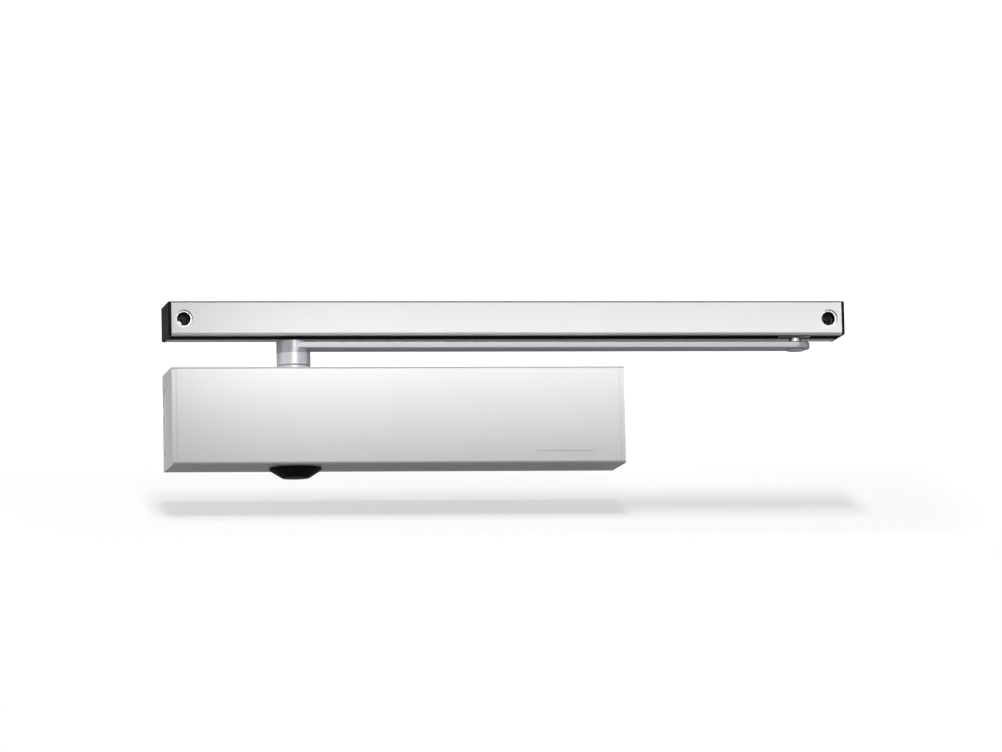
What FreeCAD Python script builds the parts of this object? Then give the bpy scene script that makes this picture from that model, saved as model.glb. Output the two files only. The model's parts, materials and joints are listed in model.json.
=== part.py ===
import FreeCAD, Part

import math
import os

import Sketcher

# A cam-driven door closer with a guide rail, millimetres.
# X runs along the closer from the spindle axis, Y = 0 is the face that lies on the door or wall,
# the front faces -Y, and Z = 0 is half way up the closer body.

os.makedirs("parts", exist_ok=True)
doc = FreeCAD.newDocument("slide_rail_door_closer")
sheet = doc.addObject("Spreadsheet::Sheet", "sizes")

DIMENSIONS = {
    # cover and its end caps
    "cover_length": 286.0,
    "cover_height": 61.0,
    "cover_wall": 1.6,
    "cover_edge_radius": 1.5,
    "end_cap_thickness": 3.0,
    "spindle_from_back": 23.5,
    "spindle_notch_width": 24.0,
    "snap_rib_height": 0.6,
    "snap_rib_width": 2.0,
    "snap_rib_place": 6.0,
    "snap_gap": 0.3,
    "badge_length": 35.7,
    "badge_height": 9.5,
    "badge_from_right": 20.8,
    "badge_from_bottom": 7.9,
    "badge_thickness": 0.3,
    "panel_height": 43.4,
    "panel_depth": 0.6,
    "panel_margin": 7.0,
    "panel_radius": 6.0,
    "release_notch_height": 5.0,
    "release_notch_depth": 2.4,
    "release_notch_rise": 7.7,
    "spigot_wall": 1.4,
    "spigot_length": 2.6,
    "spigot_gap": 0.1,
    # cast body
    "body_end_gap": 3.0,
    "lug_length": 14.0,
    "lug_thickness": 12.0,
    "lug_hole_diameter": 5.5,
    "lug_hole_edge": 7.0,
    "casting_radius": 2.0,
    "lug_root_radius": 5.0,
    "bore_diameter": 36.0,
    "bore_step": 1.0,
    "body_wall": 2.0,
    "plug_thickness": 10.0,
    "plug_rim_width": 6.0,
    "core_pocket_width": 7.0,
    "core_pocket_rib": 6.0,
    "core_pocket_depth": 8.0,
    "core_pocket_start": 26.0,
    "core_pocket_end": 10.0,
    "core_pocket_edge": 3.0,
    "core_pocket_count": 5.0,
    # fits
    "fixed_gap": 0.05,
    "running_gap": 0.05,
    "free_gap": 0.3,
    "cut_margin": 1.0,
    "plug_seal_width": 2.4,
    "plug_seal_depth": 1.9,
    "plug_seal_inset": 1.0,
    # spindle, bearings and collars
    "shaft_diameter": 16.0,
    "waist_gap": 0.75,
    "journal_step": 0.5,
    "shaft_bevel": 0.6,
    "square_gap": 0.2,
    "lower_bearing_diameter": 24.0,
    "cam_passage_gap": 0.2,
    "upper_nut_lip": 0.65,
    "bearing_length": 7.0,
    "bearing_lead": 0.8,
    "lower_nut_diameter": 28.0,
    "nut_thickness": 4.0,
    "nut_neck_diameter": 19.0,
    "nut_neck_length": 3.0,
    "spanner_hole_diameter": 2.6,
    "shaft_seal_diameter": 20.0,
    "shaft_seal_thickness": 2.6,
    "collar_diameter": 21.3,
    "collar_bevel": 0.3,
    "collar_rise": 2.9,
    "sleeve_height": 8.1,
    # heart cam and its two rollers
    "cam_base": 13.5,
    "cam_clearance": 0.6,
    "cam_thickness": 10.0,
    "cam_gap": 0.25,
    "roller_diameter": 12.0,
    "roller_bevel": 0.5,
    "roller_clearance": 0.6,
    "roller_pin_diameter": 5.0,
    "roller_pin_inset": 1.0,
    "fork_side_gap": 0.6,
    "fork_flat_depth": 4.0,
    "fork_shaft_gap": 0.5,
    # pistons and check valves
    "piston_gap": 0.1,
    "drive_head": 28.0,
    "drive_wall": 2.0,
    "drive_cavity_depth": 16.0,
    "damping_head": 15.0,
    "damping_cavity_depth": 10.0,
    "damping_room": 4.75,
    "ring_inset": 1.6,
    "ring_width": 2.0,
    "ring_depth": 1.5,
    "check_valve_diameter": 5.0,
    "check_valve_length": 4.0,
    "check_valve_port_diameter": 2.0,
    "check_valve_offset": 8.0,
    # springs and force adjuster
    "spring_gap": 0.4,
    "main_wire_width": 5.0,
    "main_turns": 8.0,
    "damping_spring_diameter": 22.0,
    "damping_wire_width": 1.6,
    "damping_turns": 4.0,
    "spring_plate_thickness": 7.0,
    "spring_plate_from_end": 30.0,
    "force_screw_diameter": 8.0,
    "force_screw_reach": 46.0,
    "force_screw_head_diameter": 14.0,
    "force_screw_head_length": 5.0,
    "hex_key_width": 5.0,
    # regulating valves
    "valve_diameter": 7.0,
    "valve_depth": 16.0,
    "valve_edge": 4.5,
    "valve_pitch": 11.0,
    "valve_from_end": 16.0,
    "valve_slot_width": 1.2,
    "valve_sink_depth": 0.5,
    "valve_tip_diameter": 2.0,
    "valve_groove_depth": 4.0,
    "valve_seal_width": 1.4,
    "valve_seal_depth": 0.8,
    # lower spindle cap
    "cap_rim_diameter": 33.0,
    "cap_rim_thickness": 1.2,
    "cap_flat_diameter": 17.0,
    "cap_height": 6.2,
    "cap_gap": 0.3,
    "cap_wall": 1.4,
    # arm, pin and bolt
    "arm_reach": 321.0,
    "arm_thickness": 4.5,
    "arm_rise": 2.2,
    "arm_root_width": 21.0,
    "arm_tip_width": 18.5,
    "arm_edge": 0.6,
    "hub_height": 7.5,
    "pin_diameter": 8.0,
    "pin_head_diameter": 11.0,
    "pin_head_thickness": 1.0,
    "pin_into_rail": 14.5,
    "bolt_diameter": 6.0,
    "bolt_head_diameter": 11.6,
    "bolt_head_depth": 3.2,
    "bolt_head_edge": 0.2,
    "bolt_length": 12.0,
    "bolt_key_width": 4.0,
    "bolt_key_depth": 2.0,
    # guide rail
    "rail_length": 431.0,
    "rail_beyond_pin": 30.0,
    "rail_front_wall": 2.5,
    "rail_height": 21.5,
    "rail_rise": 2.5,
    "rail_wall": 2.2,
    "rail_channel_width": 20.0,
    "rail_slot_width": 10.0,
    "rail_edge": 2.0,
    "rail_rebate": 1.2,
    "rail_cap_thickness": 2.0,
    "rail_cap_bevel": 0.6,
    "rail_spigot": 6.0,
    "rail_hole_inset": 8.0,
    "rail_hole_diameter": 5.6,
    "rail_access_diameter": 10.8,
    "block_length": 13.9,
    "block_gap": 0.5,
    "block_fit": 0.15,
    "block_seat_diameter": 8.4,
    "block_seat_depth": 7.0,
    # slider
    "slider_length": 26.0,
    "slider_gap": 0.3,
    "slider_neck_length": 20.0,
    "slider_bush_diameter": 12.0,
    "slider_corner": 4.0,
}

for row, (alias, number) in enumerate(DIMENSIONS.items(), start=1):
    sheet.set(f"A{row}", alias)
    sheet.set(f"B{row}", str(number))
    sheet.setAlias(f"B{row}", alias)
doc.recompute()


class Size:
    """A number together with the sheet formula that gives it."""

    def __init__(self, number, formula):
        self.number = number
        self.formula = formula

    def join(self, sign, other, number):
        return Size(number, f"({self.formula} {sign} {other.formula})")

    def __add__(self, other):
        other = size(other)
        return self.join("+", other, self.number + other.number)

    def __radd__(self, other):
        return size(other) + self

    def __sub__(self, other):
        other = size(other)
        return self.join("-", other, self.number - other.number)

    def __rsub__(self, other):
        return size(other) - self

    def __mul__(self, other):
        other = size(other)
        return self.join("*", other, self.number * other.number)

    def __rmul__(self, other):
        return size(other) * self

    def __truediv__(self, other):
        other = size(other)
        return self.join("/", other, self.number / other.number)

    def __neg__(self):
        return size(0) - self


def size(value):
    """Return a plain number as a Size, and leave a Size as it is."""
    if isinstance(value, Size):
        return value
    return Size(float(value), repr(float(value)))


def bind(thing, name, value):
    """Tie one property of an object to the sheet."""
    thing.setExpression(name, size(value).formula)


class Sheet:
    """The driving dimensions, each read by its alias."""

    def __getattr__(self, alias):
        return Size(float(sheet.get(alias)), f"sizes.{alias}")


dim = Sheet()

VALVES = ("closing_valve", "latching_valve", "backcheck_valve")
CAM_STEPS = 14
COIL_STEPS = 12

# Levels: the body's height sets where the spindle's end, the arm and the rail lie
half_height = dim.cover_height / 2
body_half = half_height - dim.cover_wall - dim.snap_gap - dim.snap_rib_height
nut_face = body_half - dim.nut_thickness
neck_end = body_half + dim.nut_neck_length
collar_top = half_height + dim.collar_rise
sleeve_top = collar_top + dim.sleeve_height
arm_bottom = sleeve_top + dim.arm_rise
hub_top = sleeve_top + dim.hub_height
bolt_neck = hub_top - dim.bolt_head_depth
square_top = bolt_neck - dim.square_gap
rail_bottom = hub_top + dim.rail_rise
pin_top = rail_bottom + dim.pin_into_rail
valve_rise = body_half - dim.valve_edge

# Depths: the cylinder and its walls set how deep the body and the cover are
spindle_y = -dim.spindle_from_back
plug_bore_diameter = dim.bore_diameter + 2 * dim.bore_step
body_front = dim.spindle_from_back + plug_bore_diameter / 2 + dim.body_wall
cover_depth = body_front + dim.snap_rib_height + dim.snap_gap + dim.cover_wall
plug_outer = plug_bore_diameter / 2 - dim.fixed_gap
seal_root = plug_outer - dim.plug_seal_depth
channel_front = spindle_y - dim.rail_channel_width / 2
channel_back = spindle_y + dim.rail_channel_width / 2
rail_depth = dim.rail_front_wall - channel_front

# Spindle, cam and pistons: the cam's longest radius just clears the cylinder
journal_diameter = dim.shaft_diameter - 2 * dim.journal_step
square_width = journal_diameter / math.sqrt(2)
cam_edge_offset = dim.roller_diameter / 2 + dim.cam_gap
waist_diameter = 2 * (dim.cam_base - cam_edge_offset - dim.waist_gap)
cam_reach = dim.bore_diameter / 2 - dim.cam_clearance
cam_space = dim.cam_thickness / 2 + dim.free_gap
cam_rise = (cam_reach + cam_edge_offset - dim.cam_base) / math.pi
cam_passage_diameter = 2 * (cam_reach + dim.cam_passage_gap)
upper_nut_diameter = cam_passage_diameter + 2 * dim.upper_nut_lip
drive_roller = dim.cam_base
damping_roller = -dim.cam_base - cam_rise * math.pi
fork_slot = dim.cam_thickness + 2 * dim.fork_side_gap
fork_height = dim.bore_diameter - 2 * dim.fork_flat_depth
fork_reach = dim.cam_base - dim.shaft_diameter / 2 - dim.fork_shaft_gap
roller_pin_length = fork_height - 2 * dim.roller_pin_inset
head_start = dim.roller_diameter / 2 + dim.roller_clearance
drive_cavity = dim.bore_diameter - 2 * (dim.piston_gap + dim.drive_wall)
damping_cavity = dim.damping_spring_diameter + 2 * dim.spring_gap
main_spring_diameter = drive_cavity - 2 * dim.spring_gap

# Places along the closer: the damping piston's room sets where the left end lies
cylinder_left = damping_roller - head_start - dim.damping_head - dim.damping_room - dim.plug_thickness
body_left = cylinder_left - dim.lug_length
cover_left = body_left - dim.body_end_gap - dim.end_cap_thickness
cover_right = cover_left + dim.cover_length
body_right = cover_right - dim.end_cap_thickness - dim.body_end_gap
cylinder_right = body_right - dim.lug_length
core_pitch = (cylinder_right - dim.core_pocket_start - dim.core_pocket_end) / dim.core_pocket_count
spring_plate_face = cylinder_right - dim.spring_plate_from_end
force_screw_tip = cylinder_right - dim.force_screw_reach
valve_first = cylinder_left + dim.valve_from_end
through = dim.cover_length * 3
rail_left = dim.arm_reach + dim.rail_beyond_pin - dim.rail_length
profile_left = rail_left + dim.rail_cap_thickness
profile_length = dim.rail_length - dim.rail_cap_thickness * 2


class Outline:
    """A sketch on one origin plane of a body, with every point held by the sheet."""

    def __init__(self, body, plane, offset):
        self.sketch = body.newObject("Sketcher::SketchObject", "outline")
        origin = {feature.Role: feature for feature in body.Origin.OriginFeatures}
        self.sketch.AttachmentSupport = [(origin[plane], "")]
        self.sketch.MapMode = "FlatFace"
        bind(self.sketch, "AttachmentOffset.Base.z", offset)

    def hold(self, kind, value, *where):
        """Add one driving dimension to the sketch."""
        index = self.sketch.addConstraint(Sketcher.Constraint(kind, *where, size(value).number))
        self.sketch.setExpression(f"Constraints[{index}]", size(value).formula)

    def fix(self, geometry, point, across, up):
        """Hold a point of the sketch at its distances from the origin."""
        self.hold("DistanceX", across, -1, 1, geometry, point)
        self.hold("DistanceY", up, -1, 1, geometry, point)

    def polygon(self, *points):
        """Draw a closed outline of straight lines through the points."""
        corners = [FreeCAD.Vector(size(x).number, size(y).number, 0) for x, y in points]
        count = len(corners)
        lines = []
        for index in range(count):
            line = Part.LineSegment(corners[index], corners[(index + 1) % count])
            lines.append(self.sketch.addGeometry(line, False))
        for index in range(count):
            after = lines[(index + 1) % count]
            self.sketch.addConstraint(Sketcher.Constraint("Coincident", lines[index], 2, after, 1))
            self.fix(lines[index], 1, *points[index])
        return self

    def rectangle(self, left, bottom, right, top):
        """Draw a rectangle between two opposite corners."""
        return self.polygon((left, bottom), (right, bottom), (right, top), (left, top))

    def circle(self, across, up, diameter):
        """Draw a circle about a point."""
        centre = FreeCAD.Vector(size(across).number, size(up).number, 0)
        radius = size(diameter).number / 2
        curve = Part.Circle(centre, FreeCAD.Vector(0, 0, 1), radius)
        index = self.sketch.addGeometry(curve, False)
        self.hold("Diameter", diameter, index)
        self.fix(index, 3, across, up)
        return self


class Piece:
    """One sub-part, drawn as a body with sketched features about its own origin."""

    def __init__(self, label, x=0, y=0, z=0):
        self.body = doc.addObject("PartDesign::Body", label)
        self.body.Label = label
        bind(self.body, "Placement.Base.x", x)
        bind(self.body, "Placement.Base.y", y)
        bind(self.body, "Placement.Base.z", z)

    def outline(self, plane, offset=0):
        """Start a sketch on an origin plane, moved along the plane's normal."""
        return Outline(self.body, plane + "_Plane", offset)

    def feature(self, kind, outline, **settings):
        """Add a sketched feature and check that it changed the solid."""
        before = self.volume()
        feature = self.body.newObject("PartDesign::" + kind, kind.lower())
        feature.Profile = outline.sketch
        for name, value in settings.items():
            if isinstance(value, Size):
                bind(feature, name, value)
            else:
                setattr(feature, name, value)
        doc.recompute()
        if abs(self.volume() - before) < 1e-3:
            raise ValueError(f"{self.body.Label}: a {kind} changed nothing")
        return feature

    def volume(self):
        """Return the volume of the body so far."""
        tip = self.body.Tip
        return tip.Shape.Volume if tip and not tip.Shape.isNull() else 0.0

    def pad(self, outline, length, both_ways=False, reverse=False):
        """Raise a solid from an outline."""
        self.feature("Pad", outline, Midplane=both_ways, Reversed=reverse, Length=size(length))
        return self

    def pocket(self, outline, depth, both_ways=False, reverse=False):
        """Sink an outline into the solid, against the plane's normal unless reversed."""
        self.feature("Pocket", outline, Midplane=both_ways, Reversed=reverse, Length=size(depth))
        return self

    def revolve(self, outline, axis):
        """Turn a solid from an outline about an axis of its sketch, H_Axis or V_Axis."""
        self.feature("Revolution", outline, ReferenceAxis=(outline.sketch, [axis]), Angle=360.0)
        return self

    def groove(self, outline, axis):
        """Turn a recess from an outline about an axis of its sketch."""
        self.feature("Groove", outline, ReferenceAxis=(outline.sketch, [axis]), Angle=360.0)
        return self

    def edges(self, test):
        """Name the edges of the solid so far that pass a test."""
        found = enumerate(self.body.Tip.Shape.Edges, start=1)
        return [f"Edge{number}" for number, edge in found if test(edge)]

    def fillet(self, radius, test):
        """Round the edges that pass a test."""
        base = self.body.Tip
        names = self.edges(test)
        feature = self.body.newObject("PartDesign::Fillet", "fillet")
        feature.Base = (base, names)
        bind(feature, "Radius", radius)
        doc.recompute()
        return self

    def chamfer(self, width, test):
        """Bevel the edges that pass a test."""
        base = self.body.Tip
        names = self.edges(test)
        feature = self.body.newObject("PartDesign::Chamfer", "chamfer")
        feature.Base = (base, names)
        bind(feature, "Size", width)
        doc.recompute()
        return self


def along(edge, axis):
    """Tell whether a straight edge runs along an axis."""
    if not isinstance(edge.Curve, Part.Line):
        return False
    start, end = (vertex.Point for vertex in edge.Vertexes)
    return abs((end - start).normalize().dot(axis)) > 0.999


def near(value, target):
    """Tell whether a measured place is the wanted one."""
    return abs(value - size(target).number) < 0.01


X_AXIS = FreeCAD.Vector(1, 0, 0)
Z_AXIS = FreeCAD.Vector(0, 0, 1)


def build_housing():
    """The cast body: a cylinder block with a fixing lug at each end."""
    piece = Piece("housing")
    plan = piece.outline("XY").polygon(
        (body_left, 0),
        (body_right, 0),
        (body_right, -dim.lug_thickness),
        (cylinder_right, -dim.lug_thickness),
        (cylinder_right, -body_front),
        (cylinder_left, -body_front),
        (cylinder_left, -dim.lug_thickness),
        (body_left, -dim.lug_thickness),
    )
    piece.pad(plan, body_half * 2, both_ways=True)
    piece.fillet(dim.lug_root_radius, lambda edge: along(edge, Z_AXIS)
                 and near(edge.CenterOfMass.y, -dim.lug_thickness)
                 and not near(edge.CenterOfMass.x, body_left)
                 and not near(edge.CenterOfMass.x, body_right))
    piece.fillet(dim.casting_radius, lambda edge: along(edge, X_AXIS)
                 and near(edge.CenterOfMass.y, -body_front))

    piece.pocket(piece.outline("YZ").circle(spindle_y, 0, dim.bore_diameter), through, both_ways=True)
    left_end = piece.outline("YZ", cylinder_left).circle(spindle_y, 0, plug_bore_diameter)
    piece.pocket(left_end, dim.plug_thickness, reverse=True)
    right_end = piece.outline("YZ", cylinder_right).circle(spindle_y, 0, plug_bore_diameter)
    piece.pocket(right_end, dim.plug_thickness)
    upper_bore = piece.outline("XY", -cam_space).circle(0, spindle_y, cam_passage_diameter)
    piece.pocket(upper_bore, through, reverse=True)
    lower_bore = piece.outline("XY").circle(0, spindle_y, dim.lower_bearing_diameter)
    piece.pocket(lower_bore, through)
    for side, nut_diameter in ((1, upper_nut_diameter), (-1, dim.lower_nut_diameter)):
        seat = piece.outline("XY", side * body_half)
        seat.circle(0, spindle_y, nut_diameter + 2 * dim.fixed_gap)
        piece.pocket(seat, dim.nut_thickness, reverse=side < 0)

    for hole_x in (body_left + dim.lug_length / 2, body_right - dim.lug_length / 2):
        holes = piece.outline("XZ")
        for side in (1, -1):
            holes.circle(hole_x, side * (body_half - dim.lug_hole_edge), dim.lug_hole_diameter)
        piece.pocket(holes, dim.lug_thickness * 2, reverse=True)

    valves = piece.outline("XZ", body_front)
    for index in range(len(VALVES)):
        valves.circle(valve_first + index * dim.valve_pitch, valve_rise, dim.valve_diameter)
    piece.pocket(valves, dim.valve_depth)

    cores = piece.outline("XZ")
    top = body_half - dim.core_pocket_edge
    for index in range(int(dim.core_pocket_count.number)):
        start = dim.core_pocket_start + index * core_pitch
        end = start + core_pitch - dim.core_pocket_rib
        cores.rectangle(start, top - dim.core_pocket_width, end, top)
        cores.rectangle(start, -top, end, dim.core_pocket_width - top)
    piece.pocket(cores, dim.core_pocket_depth, reverse=True)


def build_plug(label, place, inward, centre):
    """A screw plug that closes one end of the cylinder, turned with a spanner rib."""
    piece = Piece(label, place, spindle_y, 0)
    rib = dim.plug_rim_width / 2
    outline = piece.outline("XZ").polygon(
        (0, centre),
        (inward * dim.plug_thickness, centre),
        (inward * dim.plug_thickness, plug_outer),
        (0, plug_outer),
        (0, plug_outer - rib),
        (inward * rib, plug_outer - rib),
        (inward * rib, centre + rib),
        (0, centre + rib),
    )
    piece.revolve(outline, "H_Axis")
    near_side = inward * (dim.plug_thickness - dim.plug_seal_width - dim.plug_seal_inset)
    far_side = inward * (dim.plug_thickness - dim.plug_seal_inset)
    groove = piece.outline("XZ").rectangle(near_side, seal_root, far_side, plug_outer + dim.cut_margin)
    piece.groove(groove, "H_Axis")

    seal = Piece(label + "_seal", place, spindle_y, 0)
    ring = seal.outline("XZ").rectangle(near_side, seal_root, far_side, plug_outer)
    seal.revolve(ring, "H_Axis")


def build_bearing(label, side, diameter):
    """A bearing in the cross bore."""
    piece = Piece(label, 0, spindle_y, 0)
    inner = journal_diameter / 2 + dim.running_gap
    outer = diameter / 2 - dim.fixed_gap
    start = side * (nut_face - dim.bearing_length)
    end = side * nut_face
    lead = side * dim.bearing_lead
    piece.revolve(piece.outline("XZ").polygon(
        (inner, start),
        (outer - dim.bearing_lead, start),
        (outer, start + lead),
        (outer, end),
        (inner, end),
    ), "V_Axis")


def build_nut(label, side, diameter):
    """A ring nut with a neck, four spanner holes and a pocket for the shaft seal."""
    piece = Piece(label, 0, spindle_y, 0)
    clear = journal_diameter / 2 + dim.free_gap
    piece.revolve(piece.outline("XZ").polygon(
        (dim.shaft_seal_diameter / 2, side * nut_face),
        (diameter / 2, side * nut_face),
        (diameter / 2, side * body_half),
        (dim.nut_neck_diameter / 2, side * body_half),
        (dim.nut_neck_diameter / 2, side * neck_end),
        (clear, side * neck_end),
        (clear, side * (nut_face + dim.shaft_seal_thickness)),
        (dim.shaft_seal_diameter / 2, side * (nut_face + dim.shaft_seal_thickness)),
    ), "V_Axis")
    hole = piece.outline("XY", side * body_half)
    hole.circle((diameter + dim.nut_neck_diameter) / 4, 0, dim.spanner_hole_diameter)
    holes = piece.feature("Pocket", hole, Length=dim.spanner_hole_diameter, Reversed=side < 0)
    pattern = piece.body.newObject("PartDesign::PolarPattern", "spanner_holes")
    pattern.Originals = [holes]
    pattern.Axis = (hole.sketch, ["N_Axis"])
    pattern.Angle = 360
    pattern.Occurrences = 4
    piece.body.Tip = pattern
    doc.recompute()


def build_seal(label, side):
    """The lip seal between nut and journal."""
    piece = Piece(label, 0, spindle_y, 0)
    piece.revolve(piece.outline("XZ").rectangle(
        journal_diameter / 2 + dim.running_gap,
        side * nut_face,
        dim.shaft_seal_diameter / 2 - dim.fixed_gap,
        side * (nut_face + dim.shaft_seal_thickness),
    ), "V_Axis")


def build_collar():
    """The fixed collar that stands on the upper nut and fills the cover's notch."""
    piece = Piece("shaft_collar", 0, spindle_y, 0)
    piece.revolve(piece.outline("XZ").polygon(
        (dim.nut_neck_diameter / 2 + dim.fixed_gap, body_half),
        (dim.collar_diameter / 2, body_half),
        (dim.collar_diameter / 2, collar_top),
        (journal_diameter / 2 + dim.free_gap, collar_top),
        (journal_diameter / 2 + dim.free_gap, neck_end),
        (dim.nut_neck_diameter / 2 + dim.fixed_gap, neck_end),
    ), "V_Axis")


def build_sleeve():
    """The turning collar between the fixed one and the arm."""
    piece = Piece("shaft_sleeve", 0, spindle_y, 0)
    bottom = collar_top + dim.free_gap
    ring = piece.outline("XY", bottom).circle(0, 0, dim.collar_diameter)
    piece.pad(ring, sleeve_top - bottom)
    reach = square_width / 2
    square = piece.outline("XY", bottom).rectangle(-reach, -reach, reach, reach)
    piece.pocket(square, sleeve_top, reverse=True)
    piece.chamfer(dim.collar_bevel, lambda edge: near(edge.CenterOfMass.z, bottom)
                  and near(edge.BoundBox.XLength, dim.collar_diameter))


def build_spindle_cap():
    """The conical cap that clips on the lower nut and hides the lower shaft end."""
    piece = Piece("spindle_cap", 0, spindle_y, 0)
    rim_top = -half_height - dim.cap_gap
    rim_bottom = rim_top - dim.cap_rim_thickness
    flat = rim_top - dim.cap_height
    floor = flat + dim.cap_wall
    clip_inner = dim.nut_neck_diameter / 2 + dim.fixed_gap
    clip_outer = clip_inner + dim.cap_wall
    fall = (rim_bottom - flat) / (dim.cap_rim_diameter / 2 - dim.cap_flat_diameter / 2)
    under_rim = rim_bottom + dim.cap_wall - (dim.cap_rim_diameter / 2 - clip_outer) * fall
    piece.revolve(piece.outline("XZ").polygon(
        (0, flat),
        (dim.cap_flat_diameter / 2, flat),
        (dim.cap_rim_diameter / 2, rim_bottom),
        (dim.cap_rim_diameter / 2, rim_top),
        (dim.cap_rim_diameter / 2 - dim.cap_wall, rim_top),
        (clip_outer, under_rim),
        (clip_outer, -body_half - dim.cap_gap),
        (clip_inner, -body_half - dim.cap_gap),
        (clip_inner, floor + dim.cap_wall),
        (clip_inner - dim.cap_wall, floor),
        (0, floor),
    ), "V_Axis")


def cam_outline():
    """Return the heart cam's edge.

    The roller's centre keeps the distance cam_base + cam_rise * angle from the spindle, and the
    edge lies inside that path by the roller's radius and a gap.
    """
    base = dim.cam_base.number
    rise = cam_rise.number
    offset = cam_edge_offset.number

    def edge_point(angle):
        radius = base + rise * angle
        slope = math.hypot(radius, rise)
        inward = -offset * radius / slope
        forward = offset * rise / slope
        return FreeCAD.Vector(
            (radius + inward) * math.cos(angle) - forward * math.sin(angle),
            (radius + inward) * math.sin(angle) + forward * math.cos(angle),
            0,
        )

    low, high = math.pi / 2, math.pi
    for _ in range(40):
        middle = (low + high) / 2
        if edge_point(middle).y > 0:
            low = middle
        else:
            high = middle
    angles = [low * step / CAM_STEPS for step in range(CAM_STEPS + 1)]
    flank = Part.BSplineCurve()
    points = [edge_point(angle) for angle in angles]
    points[-1] = FreeCAD.Vector(points[-1].x, 0, 0)
    flank.interpolate(points)
    other = Part.BSplineCurve()
    other.interpolate([FreeCAD.Vector(point.x, -point.y, 0) for point in points])
    mirrored = FreeCAD.Vector(points[0].x, -points[0].y, 0)
    notch = Part.Arc(points[0], FreeCAD.Vector(base - offset, 0, 0), mirrored)
    return Part.Wire(Part.__sortEdges__([flank.toShape(), notch.toShape(), other.toShape()]))


def build_camshaft():
    """The spindle: heart cam, journals, square end and tapped hole."""
    cam = doc.addObject("Part::Feature", "heart_cam")
    face = Part.Face(cam_outline())
    cam.Shape = face.extrude(Z_AXIS * dim.cam_thickness.number)
    cam.Placement.Base = FreeCAD.Vector(0, spindle_y.number, -dim.cam_thickness.number / 2)

    core = Piece("spindle_core", 0, spindle_y, 0)
    shoulder = nut_face - dim.bearing_length - dim.fixed_gap
    square_start = collar_top + dim.free_gap
    journal_end = -neck_end
    core.revolve(core.outline("XZ").polygon(
        (0, journal_end),
        (journal_diameter / 2 - dim.shaft_bevel, journal_end),
        (journal_diameter / 2, journal_end + dim.shaft_bevel),
        (journal_diameter / 2, -shoulder),
        (dim.shaft_diameter / 2, -shoulder),
        (dim.shaft_diameter / 2, -cam_space),
        (waist_diameter / 2, -cam_space),
        (waist_diameter / 2, cam_space),
        (dim.shaft_diameter / 2, cam_space),
        (dim.shaft_diameter / 2, shoulder),
        (journal_diameter / 2, shoulder),
        (journal_diameter / 2, square_start),
        (0, square_start),
    ), "V_Axis")
    reach = square_width / 2
    square = core.outline("XY", square_start).rectangle(-reach, -reach, reach, reach)
    core.pad(square, square_top - square_start)
    tapped = core.outline("XY", square_top).circle(0, 0, dim.bolt_diameter + 2 * dim.fixed_gap)
    core.pocket(tapped, dim.bolt_length)

    camshaft = doc.addObject("Part::Fuse", "camshaft")
    camshaft.Base = core.body
    camshaft.Tool = cam


def build_arm():
    """The arm: a hub on the square and a tapered bar with a round end."""
    piece = Piece("arm", 0, spindle_y, 0)
    hub = piece.outline("XY", sleeve_top).circle(0, 0, dim.collar_diameter)
    piece.pad(hub, hub_top - sleeve_top)
    bar = piece.outline("XY", arm_bottom).polygon(
        (0, -dim.arm_root_width / 2),
        (dim.arm_reach, -dim.arm_tip_width / 2),
        (dim.arm_reach, dim.arm_tip_width / 2),
        (0, dim.arm_root_width / 2),
    )
    piece.pad(bar, dim.arm_thickness)
    tip = piece.outline("XY", arm_bottom).circle(dim.arm_reach, 0, dim.arm_tip_width)
    piece.pad(tip, dim.arm_thickness)
    bar_levels = (arm_bottom, arm_bottom + dim.arm_thickness)
    piece.chamfer(dim.arm_edge, lambda edge: edge.BoundBox.ZLength < 0.01
                  and any(near(edge.CenterOfMass.z, level) for level in bar_levels)
                  and (edge.Length > dim.arm_reach.number / 2
                       or edge.CenterOfMass.x > dim.arm_reach.number))
    hole = piece.outline("XY", arm_bottom).circle(dim.arm_reach, 0, dim.pin_diameter + 2 * dim.fixed_gap)
    piece.pocket(hole, dim.arm_thickness * 2, reverse=True)
    reach = square_width / 2
    square = piece.outline("XY", sleeve_top).rectangle(-reach, -reach, reach, reach)
    piece.pocket(square, square_top - sleeve_top + dim.free_gap, reverse=True)
    wide = dim.bolt_head_diameter / 2 + dim.fixed_gap
    narrow = dim.bolt_diameter / 2 + dim.free_gap
    seat = piece.outline("XZ").polygon(
        (0, square_top),
        (narrow, square_top),
        (narrow, bolt_neck),
        (wide, bolt_neck + wide - narrow),
        (wide, hub_top + dim.cut_margin),
        (0, hub_top + dim.cut_margin),
    )
    piece.groove(seat, "V_Axis")


def build_arm_bolt():
    """The countersunk bolt that holds the arm on the spindle."""
    piece = Piece("arm_bolt", 0, spindle_y, 0)
    wide = dim.bolt_head_diameter / 2
    narrow = dim.bolt_diameter / 2
    top = bolt_neck + wide - narrow + dim.bolt_head_edge
    piece.revolve(piece.outline("XZ").polygon(
        (0, square_top - dim.bolt_length + dim.free_gap),
        (narrow, square_top - dim.bolt_length + dim.free_gap),
        (narrow, bolt_neck),
        (wide, bolt_neck + wide - narrow),
        (wide, top),
        (0, top),
    ), "V_Axis")
    socket = piece.outline("XY", top).polygon(*hexagon(dim.bolt_key_width))
    piece.pocket(socket, dim.bolt_key_depth)


def hexagon(across_flats):
    """Return the corners of a hexagon about the sketch's origin."""
    corner = across_flats / math.sqrt(3)
    turns = [math.radians(60 * step) for step in range(6)]
    return [(corner * math.cos(turn), corner * math.sin(turn)) for turn in turns]


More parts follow.
